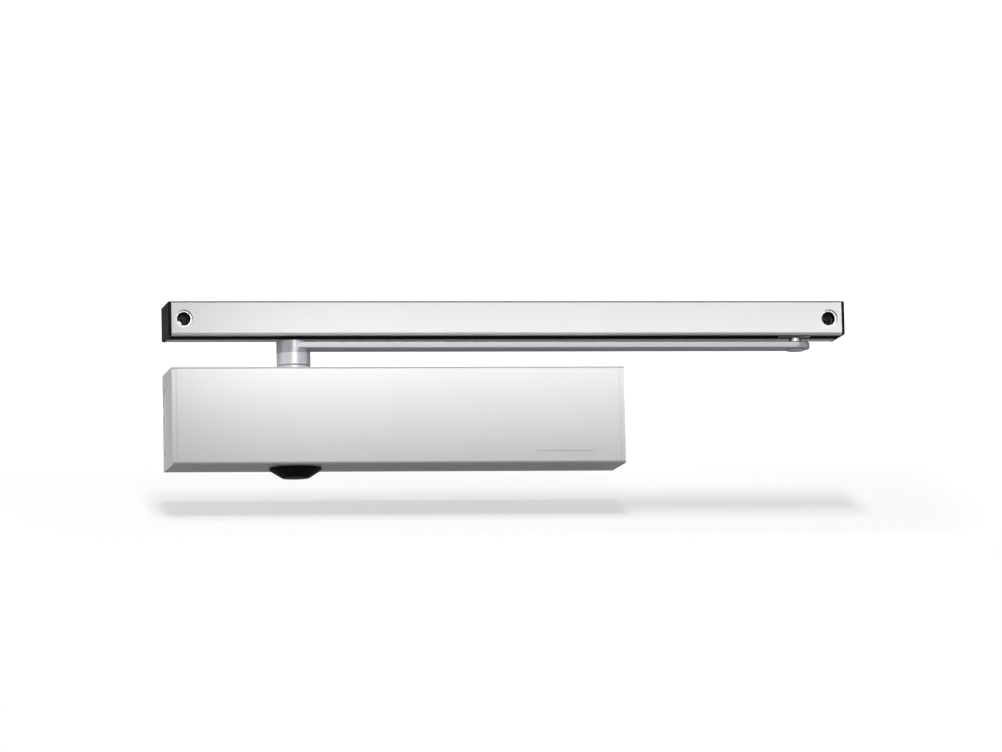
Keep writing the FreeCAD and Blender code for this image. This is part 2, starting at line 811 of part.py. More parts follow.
def build_slider_pin():
    """The headed pin at the arm's end that carries the slider."""
    piece = Piece("slider_pin", dim.arm_reach, spindle_y, 0)
    piece.revolve(piece.outline("XZ").polygon(
        (0, arm_bottom - dim.pin_head_thickness),
        (dim.pin_head_diameter / 2, arm_bottom - dim.pin_head_thickness),
        (dim.pin_head_diameter / 2, arm_bottom),
        (dim.pin_diameter / 2, arm_bottom),
        (dim.pin_diameter / 2, pin_top - dim.shaft_bevel),
        (dim.pin_diameter / 2 - dim.shaft_bevel, pin_top),
        (0, pin_top),
    ), "V_Axis")


def build_piston(name, roller_x, head, cavity, cavity_depth):
    """A piston with a fork for its roller, a ring, a check valve and a spring cavity.

    The fork faces the spindle, and the head and the cavity lie away from it, on the side that
    roller_x gives.
    """
    away = 1 if roller_x.number > 0 else -1
    tip = roller_x - away * fork_reach
    root = roller_x + away * head_start
    back = root + away * head
    outer = dim.bore_diameter / 2 - dim.piston_gap

    piece = Piece(name + "_piston", 0, spindle_y, 0)
    blank = piece.outline("XZ").rectangle(tip, 0, back, outer)
    piece.revolve(blank, "H_Axis")
    beyond = tip - away * dim.cut_margin
    slot = piece.outline("XZ").rectangle(beyond, -fork_slot / 2, root, fork_slot / 2)
    piece.pocket(slot, dim.bore_diameter * 2, both_ways=True)
    for side in (1, -1):
        flat = piece.outline("XZ").rectangle(
            beyond, side * fork_height / 2, root, side * dim.bore_diameter
        )
        piece.pocket(flat, dim.bore_diameter * 2, both_ways=True)
    pin_hole = piece.outline("XY").circle(roller_x, 0, dim.roller_pin_diameter + 2 * dim.fixed_gap)
    piece.pocket(pin_hole, dim.bore_diameter * 2, both_ways=True)
    hollow = piece.outline("XZ").rectangle(
        back - away * cavity_depth, 0, back + away * dim.cut_margin, cavity / 2
    )
    piece.groove(hollow, "H_Axis")
    port_start = root + away * (head - cavity_depth)
    port = piece.outline("YZ", port_start).circle(dim.check_valve_offset, 0, dim.check_valve_diameter)
    piece.pocket(port, dim.check_valve_length * 4, both_ways=True)
    ring_start = root + away * dim.ring_inset
    ring_end = ring_start + away * dim.ring_width
    ring_root = outer - dim.ring_depth
    groove = piece.outline("XZ").rectangle(
        ring_start, ring_root, ring_end, outer + dim.cut_margin
    )
    piece.groove(groove, "H_Axis")

    ring = Piece(name + "_piston_ring", 0, spindle_y, 0)
    ring.revolve(ring.outline("XZ").rectangle(
        ring_start, ring_root, ring_end, dim.bore_diameter / 2 - dim.running_gap
    ), "H_Axis")

    valve = Piece(name + "_check_valve", 0, spindle_y + dim.check_valve_offset, 0)
    valve.revolve(valve.outline("XZ").rectangle(
        port_start, dim.check_valve_port_diameter / 2,
        port_start - away * dim.check_valve_length, dim.check_valve_diameter / 2 - dim.fixed_gap
    ), "H_Axis")

    pin = Piece(name + "_roller_pin", roller_x, spindle_y, 0)
    end = roller_pin_length / 2
    pin.pad(pin.outline("XY").circle(0, 0, dim.roller_pin_diameter), end * 2, both_ways=True)

    roller = Piece(name + "_roller", roller_x, spindle_y, 0)
    roller.revolve(roller.outline("XZ").rectangle(
        dim.roller_pin_diameter / 2 + dim.running_gap, -dim.cam_thickness / 2,
        dim.roller_diameter / 2, dim.cam_thickness / 2
    ), "V_Axis")
    roller.chamfer(dim.roller_bevel, lambda edge: near(edge.BoundBox.XLength, dim.roller_diameter)
                   and edge.BoundBox.ZLength < 0.01)
    return back - away * cavity_depth


def build_spring(label, start, end, outer, wire, turns):
    """A coil spring of square wire between two faces, in straight facets.

    Each turn has COIL_STEPS stations, and each of the wire's four sides is a strip of triangles.
    """
    length = abs(end.number - start.number)
    mean = (outer.number - wire.number) / 2
    half = wire.number / 2
    count = int(turns.number) * COIL_STEPS
    climb = (length - wire.number) / count
    stations = []
    for index in range(count + 1):
        turn = 2 * math.pi * index / COIL_STEPS
        middle = half + climb * index
        stations.append([
            FreeCAD.Vector(middle + rise, (mean + out) * math.cos(turn), (mean + out) * math.sin(turn))
            for out, rise in ((-half, -half), (half, -half), (half, half), (-half, half))
        ])
    faces = [Part.Face(Part.makePolygon(ends + ends[:1])) for ends in (stations[0], stations[-1])]
    for near_ring, far_ring in zip(stations, stations[1:]):
        for side in range(4):
            a, b = near_ring[side], near_ring[(side + 1) % 4]
            c, d = far_ring[(side + 1) % 4], far_ring[side]
            faces.append(Part.Face(Part.makePolygon([a, b, c, a])))
            faces.append(Part.Face(Part.makePolygon([a, c, d, a])))
    shell = Part.makeShell(faces)
    shell.sewShape()
    solid = Part.makeSolid(shell)
    if solid.Volume < 0:
        solid.reverse()
    spring = doc.addObject("Part::Feature", label)
    spring.Shape = solid
    spring.Placement.Base = FreeCAD.Vector(min(start.number, end.number), spindle_y.number, 0)


def build_force_adjuster():
    """The spring plate on its screw, which bears on the right plug."""
    plate = Piece("spring_plate", spring_plate_face, spindle_y, 0)
    bore = dim.force_screw_diameter / 2 + dim.running_gap
    coil_inside = (main_spring_diameter / 2 - dim.main_wire_width) * math.cos(math.pi / COIL_STEPS)
    spigot = coil_inside - dim.free_gap
    plate.revolve(plate.outline("XZ").polygon(
        (-dim.spring_plate_thickness, bore),
        (dim.spring_plate_thickness, bore),
        (dim.spring_plate_thickness, dim.bore_diameter / 2 - dim.free_gap),
        (0, dim.bore_diameter / 2 - dim.free_gap),
        (0, spigot),
        (-dim.spring_plate_thickness, spigot),
    ), "H_Axis")

    inner_face = cylinder_right - dim.plug_thickness
    screw = Piece("force_screw", inner_face, spindle_y, 0)
    screw.revolve(screw.outline("XZ").polygon(
        (force_screw_tip - inner_face, 0),
        (dim.plug_thickness - dim.free_gap, 0),
        (dim.plug_thickness - dim.free_gap, dim.force_screw_diameter / 2),
        (0, dim.force_screw_diameter / 2),
        (0, dim.force_screw_head_diameter / 2),
        (-dim.force_screw_head_length, dim.force_screw_head_diameter / 2),
        (-dim.force_screw_head_length, dim.force_screw_diameter / 2),
        (force_screw_tip - inner_face, dim.force_screw_diameter / 2),
    ), "H_Axis")
    socket = screw.outline("YZ", dim.plug_thickness - dim.free_gap).polygon(*hexagon(dim.hex_key_width))
    screw.pocket(socket, dim.hex_key_width)


def build_valve(label, index):
    """A regulating screw in the front of the body, with its seal."""
    place = valve_first + index * dim.valve_pitch
    piece = Piece(label, place, -body_front, valve_rise)
    outer = dim.valve_diameter / 2 - dim.running_gap
    head = -dim.valve_sink_depth
    tip = dim.valve_depth - dim.free_gap
    # the screw's axis runs along Y, so its outline lies in the plane that holds X and Y
    piece.revolve(piece.outline("XY").polygon(
        (0, -head),
        (outer, -head),
        (outer, tip - outer),
        (dim.valve_tip_diameter / 2, tip),
        (0, tip),
    ), "V_Axis")
    groove_start = dim.valve_groove_depth
    groove_end = groove_start + dim.valve_seal_width
    root = outer - dim.valve_seal_depth
    groove = piece.outline("XY").rectangle(root, groove_start, outer + dim.cut_margin, groove_end)
    piece.groove(groove, "V_Axis")
    slot = piece.outline("XZ", head).rectangle(
        -dim.valve_diameter, -dim.valve_slot_width / 2, dim.valve_diameter, dim.valve_slot_width / 2
    )
    piece.pocket(slot, dim.valve_slot_width)
    seal = Piece(label + "_seal", place, -body_front, valve_rise)
    seal.revolve(seal.outline("XY").rectangle(root, groove_start, outer, groove_end), "V_Axis")


def channel(front, half, wall):
    """Return the corners of a wall that is open at the back, as (Y, Z) pairs."""
    return (
        (0, -half),
        (0, wall - half),
        (wall - front, wall - half),
        (wall - front, half - wall),
        (0, half - wall),
        (0, half),
        (-front, half),
        (-front, -half),
    )


def build_cover():
    """The drawn cover: a channel with a notch for the spindle and a blank badge field."""
    piece = Piece("cover")
    left = cover_left + dim.end_cap_thickness
    length = dim.cover_length - dim.end_cap_thickness * 2
    wall = piece.outline("YZ", left).polygon(*channel(cover_depth, half_height, dim.cover_wall))
    piece.pad(wall, length)
    piece.fillet(dim.cover_edge_radius, lambda edge: along(edge, X_AXIS)
                 and near(edge.CenterOfMass.y, -cover_depth))
    inside = half_height - dim.cover_wall
    rib_start = left + dim.spigot_length + dim.free_gap
    rib_length = length - 2 * (dim.spigot_length + dim.free_gap)
    for side in (1, -1):
        rib = piece.outline("YZ", rib_start).rectangle(
            -dim.snap_rib_place,
            side * (inside - dim.snap_rib_height),
            -dim.snap_rib_place - dim.snap_rib_width,
            side * (inside + dim.cover_wall / 2),
        )
        piece.pad(rib, rib_length)
        bar = piece.outline("YZ", rib_start).rectangle(
            dim.cover_wall / 2 - cover_depth,
            side * body_half / 2,
            dim.cover_wall + dim.snap_rib_height - cover_depth,
            side * (body_half / 2 + dim.snap_rib_width),
        )
        piece.pad(bar, rib_length)
    notch_half = dim.spindle_notch_width / 2
    slot = piece.outline("XY").rectangle(-notch_half, spindle_y, notch_half, dim.cut_margin)
    piece.pocket(slot, through, both_ways=True)
    end = piece.outline("XY").circle(0, spindle_y, dim.spindle_notch_width)
    piece.pocket(end, through, both_ways=True)
    badge_right = cover_right - dim.badge_from_right
    badge_bottom = dim.badge_from_bottom - half_height
    badge = piece.outline("XZ", cover_depth).rectangle(
        badge_right - dim.badge_length,
        badge_bottom,
        badge_right,
        badge_bottom + dim.badge_height,
    )
    piece.pad(badge, dim.badge_thickness)


def build_end_cap(label, inner_face, outward):
    """An end cap with a sunk panel, a release notch and a spigot inside the cover."""
    piece = Piece(label, inner_face, 0, 0)
    plate = piece.outline("YZ").rectangle(-cover_depth, -half_height, 0, half_height)
    piece.pad(plate, dim.end_cap_thickness, reverse=outward < 0)
    piece.fillet(dim.cover_edge_radius, lambda edge: along(edge, X_AXIS)
                 and near(edge.CenterOfMass.y, -cover_depth))
    clear = dim.cover_wall + dim.spigot_gap
    walls = channel(cover_depth - clear, half_height - clear, dim.spigot_wall)
    piece.pad(piece.outline("YZ").polygon(*walls), dim.spigot_length, reverse=outward > 0)
    outer_face = outward * dim.end_cap_thickness
    panel = piece.outline("YZ", outer_face).rectangle(
        dim.panel_margin - cover_depth,
        -dim.panel_height / 2,
        -dim.panel_margin,
        dim.panel_height / 2,
    )
    piece.pocket(panel, dim.panel_depth, reverse=outward < 0)
    piece.fillet(dim.panel_radius, lambda edge: along(edge, X_AXIS)
                 and near(abs(edge.CenterOfMass.z), dim.panel_height / 2))
    notch_half = dim.release_notch_height / 2
    notch = piece.outline("YZ").rectangle(
        -dim.release_notch_depth,
        dim.release_notch_rise - notch_half,
        dim.cut_margin,
        dim.release_notch_rise + notch_half,
    )
    piece.pocket(notch, dim.end_cap_thickness * 2, both_ways=True)


def build_rail():
    """The drawn guide rail: a slotted channel in front of a closed chamber."""
    piece = Piece("rail_profile", profile_left, 0, rail_bottom)
    high = dim.rail_height
    deep = rail_depth
    wall = dim.rail_wall
    rebate = dim.rail_rebate
    section = piece.outline("YZ").polygon(
        (-rebate, 0),
        (-rebate, rebate),
        (0, rebate),
        (0, high),
        (-deep, high),
        (-deep, 0),
        (spindle_y - dim.rail_slot_width / 2, 0),
        (spindle_y - dim.rail_slot_width / 2, wall),
        (channel_front, wall),
        (channel_front, high - wall),
        (channel_back, high - wall),
        (channel_back, wall),
        (spindle_y + dim.rail_slot_width / 2, wall),
        (spindle_y + dim.rail_slot_width / 2, 0),
    )
    section.rectangle(channel_back + wall, wall, -wall, high - wall)
    piece.pad(section, profile_length)
    piece.fillet(dim.rail_edge, lambda edge: along(edge, X_AXIS)
                 and near(edge.CenterOfMass.y, -deep) and near(edge.CenterOfMass.z, 0))
    fixings = piece.outline("XZ")
    access = piece.outline("XZ", deep)
    for place in (dim.rail_hole_inset, profile_length - dim.rail_hole_inset):
        fixings.circle(place, high / 2, dim.rail_hole_diameter)
        access.circle(place, high / 2, dim.rail_access_diameter)
    piece.pocket(fixings, -spindle_y, reverse=True)
    piece.pocket(access, deep + channel_front + wall)


def build_rail_block(label, start):
    """A fixing block inside one end of the channel, with a seat for its screw's head."""
    piece = Piece(label, start, 0, rail_bottom)
    fit = dim.block_fit
    section = piece.outline("YZ").rectangle(
        channel_front + fit,
        dim.rail_wall + fit,
        channel_back - fit,
        dim.rail_height - dim.rail_wall - fit,
    )
    piece.pad(section, dim.block_length)
    hole_x = dim.rail_hole_inset - dim.block_gap
    if label == "rail_right_block":
        hole_x = dim.block_length - hole_x
    hole = piece.outline("XZ").circle(hole_x, dim.rail_height / 2, dim.rail_hole_diameter)
    piece.pocket(hole, through, both_ways=True)
    seat = piece.outline("XZ", -(channel_front + fit))
    seat.circle(hole_x, dim.rail_height / 2, dim.block_seat_diameter)
    piece.pocket(seat, dim.block_seat_depth)


def build_rail_cap(label, face, outward):
    """A plastic cap on one end of the rail, with a spigot in the rear chamber."""
    piece = Piece(label, face, 0, rail_bottom)
    plate = piece.outline("YZ").rectangle(-rail_depth, 0, 0, dim.rail_height)
    piece.pad(plate, dim.rail_cap_thickness, reverse=outward < 0)
    piece.fillet(dim.rail_edge, lambda edge: along(edge, X_AXIS)
                 and near(edge.CenterOfMass.y, -rail_depth)
                 and near(edge.CenterOfMass.z, 0))
    piece.chamfer(dim.rail_cap_bevel, lambda edge: along(edge, Z_AXIS)
                  and near(edge.CenterOfMass.x, outward * dim.rail_cap_thickness)
                  and near(edge.CenterOfMass.y, -rail_depth))
    fit = dim.rail_wall + dim.block_fit
    spigot = piece.outline("YZ").rectangle(
        channel_back + fit,
        fit,
        -fit,
        dim.rail_height - fit,
    )
    piece.pad(spigot, dim.rail_spigot, reverse=outward > 0)


def build_slider():
    """The slider in the channel, with a neck in the slot and a bush for the pin."""
    block = Piece("slider_block", dim.arm_reach, spindle_y, rail_bottom)
    gap = dim.slider_gap
    long_half = dim.slider_length / 2
    wide_half = dim.rail_channel_width / 2 - gap
    bottom = dim.rail_wall + gap
    top = dim.rail_height - dim.rail_wall - gap
    body = block.outline("XY", bottom).rectangle(-long_half, -wide_half, long_half, wide_half)
    block.pad(body, top - bottom)
    block.fillet(dim.slider_corner, lambda edge: along(edge, Z_AXIS))
    neck_half = dim.slider_neck_length / 2
    slot_half = dim.rail_slot_width / 2 - gap
    neck = block.outline("XY", gap).rectangle(-neck_half, -slot_half, neck_half, slot_half)
    block.pad(neck, dim.rail_wall)
    clear = block.outline("XY").circle(0, 0, dim.pin_diameter + 2 * dim.free_gap)
    block.pocket(clear, top + dim.cut_margin, reverse=True)
    seat = block.outline("XY", top).circle(0, 0, dim.slider_bush_diameter)
    block.pocket(seat, top - bottom)

    bush = Piece("slider_bush", dim.arm_reach, spindle_y, rail_bottom)
    bush.revolve(bush.outline("XZ").rectangle(
        dim.pin_diameter / 2 + dim.running_gap, bottom,
        dim.slider_bush_diameter / 2 - dim.fixed_gap, top - dim.pin_head_thickness
    ), "V_Axis")


build_housing()
build_plug("left_plug", cylinder_left, 1, dim.hex_key_width)
build_plug("right_plug", cylinder_right, -1, dim.force_screw_diameter / 2 + dim.free_gap)
build_bearing("upper_bearing", 1, cam_passage_diameter)
build_nut("upper_nut", 1, upper_nut_diameter)
build_bearing("lower_bearing", -1, dim.lower_bearing_diameter)
build_nut("lower_nut", -1, dim.lower_nut_diameter)
for level, side in (("upper", 1), ("lower", -1)):
    build_seal(level + "_seal", side)
build_collar()
build_sleeve()
build_spindle_cap()
build_camshaft()
build_arm()
build_arm_bolt()
build_slider_pin()
spring_seat = build_piston(
    "drive", drive_roller, dim.drive_head, drive_cavity, dim.drive_cavity_depth
)
damping_seat = build_piston(
    "damping", damping_roller, dim.damping_head, damping_cavity, dim.damping_cavity_depth
)
build_spring("main_spring", spring_seat, spring_plate_face, main_spring_diameter,
             dim.main_wire_width, dim.main_turns)
build_spring("damping_spring", damping_seat, cylinder_left + dim.plug_thickness,
             dim.damping_spring_diameter, dim.damping_wire_width, dim.damping_turns)
build_force_adjuster()
for index, label in enumerate(VALVES):
    build_valve(label, index)
build_cover()
build_end_cap("left_end_cap", cover_left + dim.end_cap_thickness, -1)
build_end_cap("right_end_cap", cover_right - dim.end_cap_thickness, 1)
build_rail()
build_rail_block("rail_left_block", profile_left + dim.block_gap)
build_rail_block("rail_right_block", profile_left + profile_length - dim.block_gap - dim.block_length)
build_rail_cap("rail_left_cap", profile_left, -1)
build_rail_cap("rail_right_cap", profile_left + profile_length, 1)
build_slider()

doc.recompute()
for item in doc.Objects:
    if "Invalid" in item.State or "Error" in item.State:
        raise ValueError(f"{item.Name} did not rebuild")

INNER_STEPS = ("heart_cam", "spindle_core")
KINDS = ("PartDesign::Body", "Part::Fuse", "Part::Feature")
pieces = [item for item in doc.Objects if item.TypeId in KINDS and item.Label not in INNER_STEPS]
for item in pieces:
    if item.Shape.isNull() or not item.Shape.isValid() or not item.Shape.Solids:
        raise ValueError(f"{item.Label} is not a sound solid")
for item in pieces:
    item.Shape.exportStep(f"parts/{item.Label}.step")
    print(item.Label, round(item.Shape.Volume), item.Shape.BoundBox)
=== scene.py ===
"""Dresses the slide rail door closer: finished pieces, materials, stage, lamps and camera."""

import json
import logging
import math
from dataclasses import dataclass, field
from enum import Enum
from typing import Any, Dict, List, Sequence, Tuple, Union

import bmesh
import bpy
from mathutils import Matrix, Vector

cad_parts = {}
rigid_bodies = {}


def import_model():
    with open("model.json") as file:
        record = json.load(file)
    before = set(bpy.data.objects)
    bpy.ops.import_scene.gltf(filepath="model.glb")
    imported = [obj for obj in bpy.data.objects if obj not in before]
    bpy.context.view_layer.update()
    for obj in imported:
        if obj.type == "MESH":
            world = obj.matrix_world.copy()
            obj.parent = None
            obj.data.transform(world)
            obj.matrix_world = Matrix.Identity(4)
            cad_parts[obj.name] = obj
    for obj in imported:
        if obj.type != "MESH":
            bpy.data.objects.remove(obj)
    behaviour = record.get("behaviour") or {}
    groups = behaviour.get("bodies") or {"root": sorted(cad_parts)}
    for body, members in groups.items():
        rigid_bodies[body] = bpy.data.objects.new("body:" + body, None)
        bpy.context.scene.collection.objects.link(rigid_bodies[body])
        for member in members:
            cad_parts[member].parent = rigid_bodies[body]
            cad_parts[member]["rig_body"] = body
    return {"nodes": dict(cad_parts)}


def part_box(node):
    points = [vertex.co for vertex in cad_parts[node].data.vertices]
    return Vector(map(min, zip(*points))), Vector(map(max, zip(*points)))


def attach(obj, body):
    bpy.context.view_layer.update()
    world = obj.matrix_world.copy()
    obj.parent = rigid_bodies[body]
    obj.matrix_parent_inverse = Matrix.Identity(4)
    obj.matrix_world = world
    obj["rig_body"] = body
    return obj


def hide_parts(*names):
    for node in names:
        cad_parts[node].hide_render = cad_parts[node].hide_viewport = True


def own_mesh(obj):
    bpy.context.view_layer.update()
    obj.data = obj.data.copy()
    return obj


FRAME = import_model()
LOG = logging.getLogger("door_closer")

Colour = Tuple[float, float, float]
Point = Tuple[float, float, float]
Range = Tuple[float, float]
MM = 0.001
SPINDLE_Y = sum(corner.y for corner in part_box("shaft_collar")) / 2


class Axis(Enum):
    """A direction of the object's frame, as the number of its coordinate."""

    X = 0
    Y = 1
    Z = 2


# Shader expressions


class Value:
    """A number from a shader node, which takes part in sums written as Python expressions."""

    def __init__(self, graph: "Graph", socket: bpy.types.NodeSocket) -> None:
        """Keep the socket and the graph that new nodes go into."""
        self.graph = graph
        self.socket = socket

    def maths(self, operation: str, *others: "Number") -> "Value":
        """Return a Math node of this value and the others."""
        values = {place: value for place, value in enumerate((self, *others))}
        return self.graph.value("ShaderNodeMath", {"operation": operation}, values)

    def __add__(self, other: "Number") -> "Value":
        """Return the sum."""
        return self.maths("ADD", other)

    def __sub__(self, other: "Number") -> "Value":
        """Return the difference."""
        return self.maths("SUBTRACT", other)

    def __rsub__(self, other: "Number") -> "Value":
        """Return the other number less this value."""
        return (self * -1.0).maths("ADD", other)

    def __mul__(self, other: "Number") -> "Value":
        """Return the product."""
        return self.maths("MULTIPLY", other)

    __radd__ = __add__
    __rmul__ = __mul__


Number = Union[Value, float]


class Graph:
    """The node tree of one material or world."""

    def __init__(self, owner: Union[bpy.types.Material, bpy.types.World]) -> None:
        """Empty the owner's node tree, to fill it anew.

        Args:
            owner: the material or world.
        """
        owner.use_nodes = True
        self.owner = owner
        self.tree = owner.node_tree
        self.tree.nodes.clear()

    @classmethod
    def of_material(cls, name: str) -> "Graph":
        """Return the empty graph of a new material."""
        return cls(bpy.data.materials.new(name))

    def node(self, kind: str, settings: Dict[str, Any], sockets: Dict[Any, Any]) -> bpy.types.Node:
        """Add a node.

        Args:
            kind: the node's type.
            settings: its own settings, set first.
            sockets: a value or a link for each input socket, by name or number.

        Returns:
            The new node.
        """
        node = self.tree.nodes.new(kind)
        for name, setting in settings.items():
            setattr(node, name, setting)
        for key, value in sockets.items():
            if isinstance(value, Value):
                value = value.socket
            if isinstance(value, bpy.types.NodeSocket):
                self.tree.links.new(value, node.inputs[key])
            else:
                node.inputs[key].default_value = value
        return node

    def value(self, kind: str, settings: Dict[str, Any], sockets: Dict[Any, Any],
              output: Union[int, str] = 0) -> Value:
        """Add a node and return one of its outputs as a value."""
        return Value(self, self.node(kind, settings, sockets).outputs[output])

    def place(self, stretch: Point = (1.0, 1.0, 1.0)) -> bpy.types.NodeSocket:
        """Return the object's own coordinates, stretched along its axes."""
        point = self.node("ShaderNodeTexCoord", {}, {}).outputs["Object"]
        return self.node("ShaderNodeMapping", {}, {"Vector": point, "Scale": stretch}).outputs[0]

    def coordinate(self, axis: Axis) -> Value:
        """Return one of the object's own coordinates, in metres."""
        return self.value("ShaderNodeSeparateXYZ", {}, {0: self.place()}, axis.value)

    def noise(self, scale: float, detail: float = 2.0, stretch: Point = (1.0, 1.0, 1.0)) -> Value:
        """Return noise from 0 to 1.

        Args:
            scale: its cells for each metre.
            detail: its octaves.
            stretch: how much finer it is along each axis.

        Returns:
            The noise as a value.
        """
        sockets = {"Vector": self.place(stretch), "Scale": scale, "Detail": detail}
        return self.value("ShaderNodeTexNoise", {}, sockets)

    def step(self, value: Value, low: float, high: float) -> Value:
        """Return a smooth step from 0 at the low end to 1 at the high one."""
        settings = {"interpolation_type": "SMOOTHSTEP"}
        return self.value("ShaderNodeMapRange", settings, {0: value, 1: low, 2: high})

    def mix(self, factor: Number, first: Any, second: Any) -> bpy.types.NodeSocket:
        """Return a mix of two colours."""
        sockets = {0: factor, 6: self.opaque(first), 7: self.opaque(second)}
        return self.node("ShaderNodeMix", {"data_type": "RGBA"}, sockets).outputs[2]

    @staticmethod
    def opaque(colour: Any) -> Any:
        """Return a plain colour with its alpha, and a link as it is."""
        return (*colour, 1.0) if isinstance(colour, tuple) else colour

    def bump(self, height: Value, depth: float) -> bpy.types.NodeSocket:
        """Return a normal from a height of 0 to 1, which stands for a depth in metres."""
        sockets = {"Height": height, "Distance": depth, "Strength": 1.0}
        return self.node("ShaderNodeBump", {}, sockets).outputs["Normal"]

    def rays(self, *kinds: str) -> Value:
        """Tell some kinds of rays from the others.

        Args:
            kinds: the kinds, as Light Path names them.

        Returns:
            1 for rays of these kinds, and 0 for others.
        """
        path = self.node("ShaderNodeLightPath", {}, {})
        found = [Value(self, path.outputs[f"Is {kind} Ray"]) for kind in kinds]
        either = found[0]
        for other in found[1:]:
            either = either.maths("MAXIMUM", other)
        return either

    def surface(self, **sockets: Any) -> bpy.types.Material:
        """End the graph in a shader for an opaque surface.

        Args:
            sockets: the shader's inputs, with _ for a space in each name.

        Returns:
            The finished material.
        """
        inputs = {name.replace("_", " "): self.opaque(value) if name == "Base_Color" else value
                  for name, value in sockets.items()}
        shader = self.node("ShaderNodeBsdfPrincipled", {}, inputs)
        self.node("ShaderNodeOutputMaterial", {}, {"Surface": shader.outputs[0]})
        return self.owner


def weigh(*parts: Tuple[Value, float]) -> Value:
    """Add up some values.

    Args:
        parts: each value with its weight.

    Returns:
        The sum of the values times their weights.
    """
    (first, weight), *others = parts
    total = first * weight
    for value, weight in others:
        total = total + value * weight
    return total


def vary(middle: float, *parts: Tuple[Value, float]) -> Value:
    """Let some values of 0 to 1 move a number up and down about its middle.

    Args:
        middle: the number where all the values are halfway.
        parts: each value with the width of its effect.

    Returns:
        The varying number.
    """
    return weigh(*parts) + (middle - sum(width for _, width in parts) / 2)


# Finishes


@dataclass(frozen=True)
class Paint:
    """Silver lacquer on metal or plastic, with a fine orange peel."""

    name: str
    colour: Colour
    shade: Colour
    roughness: float = 0.36
    metallic: float = 0.45
    coat: float = 0.15
    coat_roughness: float = 0.2
    peel: float = 0.012 * MM
    cloud_cells: float = 14.0
    flake_cells: float = 9000.0
    peel_cells: float = 1400.0

    def material(self) -> bpy.types.Material:
        """Build the lacquer's shader.

        Returns:
            The finish as a material.
        """
        graph = Graph.of_material(self.name)
        cloud = graph.noise(self.cloud_cells, 3.0)
        flake = graph.noise(self.flake_cells, 1.0)
        peel = graph.noise(self.peel_cells, 2.0)
        tone = weigh((cloud, 0.6), (flake, 0.4))
        return graph.surface(
            Base_Color=graph.mix(tone, self.shade, self.colour),
            Metallic=self.metallic,
            Roughness=vary(self.roughness, (cloud, 0.06), (flake, 0.05)),
            Coat_Weight=self.coat,
            Coat_Roughness=self.coat_roughness,
            Normal=graph.bump(weigh((peel, 0.7), (flake, 0.3)), self.peel),
        )


@dataclass(frozen=True)
class Drawn:
    """Bare or anodised metal with fine lines along one axis."""

    name: str
    colour: Colour
    shade: Colour
    along: Axis = Axis.X
    roughness: float = 0.34
    metallic: float = 0.6
    depth: float = 0.006 * MM
    line_cells: float = 60.0
    fineness: float = 90.0
    cloud_cells: float = 18.0

    def material(self) -> bpy.types.Material:
        """Build the drawn metal's shader.

        Returns:
            The finish as a material.
        """
        graph = Graph.of_material(self.name)
        stretch = [self.fineness] * 3
        stretch[self.along.value] = 1.0
        lines = graph.noise(self.line_cells, 4.0, tuple(stretch))
        cloud = graph.noise(self.cloud_cells, 2.0)
        plain = graph.mix(weigh((lines, 0.7), (cloud, 0.3)), self.shade, self.colour)
        return graph.surface(
            Base_Color=self.tint(graph, plain),
            Metallic=self.metallic,
            Roughness=vary(self.roughness, (lines, 0.12)),
            Normal=graph.bump(lines, self.depth),
        )

    def tint(self, graph: Graph, plain: bpy.types.NodeSocket) -> bpy.types.NodeSocket:
        """Return the metal's colour, here as it is."""
        return plain


@dataclass(frozen=True)
class PaintedShadeDrawn(Drawn):
    """Drawn metal with painted shade: its colour is darkened within some ranges of Y and Z."""

    places: Tuple[Tuple[Range, Range], ...] = ()
    stain_and_painted_shade: Colour = (0.10, 0.10, 0.10)
    blend: float = 0.1 * MM

    def tint(self, graph: Graph, plain: bpy.types.NodeSocket) -> bpy.types.NodeSocket:
        """Lay the painted shade over the metal's colour.

        Args:
            graph: the material's graph.
            plain: the colour without the painted shade.

        Returns:
            The colour with the painted shade.
        """
        painted_shade_mask: Number = 0.0
        for ranges in self.places:
            inside: Number = 1.0
            for axis, (low, high) in zip((Axis.Y, Axis.Z), ranges):
                travel = graph.coordinate(axis)
                above = graph.step(travel, low - self.blend, low)
                inside = above * (1.0 - graph.step(travel, high, high + self.blend)) * inside
            painted_shade_mask = inside.maths("MAXIMUM", painted_shade_mask)
        return graph.mix(painted_shade_mask, plain, self.stain_and_painted_shade)


@dataclass(frozen=True)
class Turned:
    """Metal turned on a lathe, with fine rings across its axis."""

    name: str
    colour: Colour
    shade: Colour
    axis: Axis = Axis.Z
    roughness: float = 0.16
    metallic: float = 1.0
    pitch: float = 0.18 * MM
    depth: float = 0.004 * MM
    scuff_cells: float = 90.0
    fineness: float = 60.0
    smudge_cells: float = 45.0

    def material(self) -> bpy.types.Material:
        """Build the turned metal's shader.

        Returns:
            The finish as a material.
        """
        graph = Graph.of_material(self.name)
        travel = graph.coordinate(self.axis)
        rings = (travel * (2 * math.pi / self.pitch)).maths("SINE") * 0.5 + 0.5
        stretch = [1.0, 1.0, 1.0]
        stretch[self.axis.value] = self.fineness
        scuffs = graph.noise(self.scuff_cells, 4.0, tuple(stretch))
        smudge = graph.noise(self.smudge_cells, 2.0)
        tone = weigh((smudge, 0.6), (scuffs, 0.4))
        return graph.surface(
            Base_Color=graph.mix(tone, self.shade, self.colour),
            Metallic=self.metallic,
            Roughness=vary(self.roughness, (scuffs, 0.10), (smudge, 0.06)),
            Normal=graph.bump(weigh((rings, 0.4), (scuffs, 0.6)), self.depth),
        )


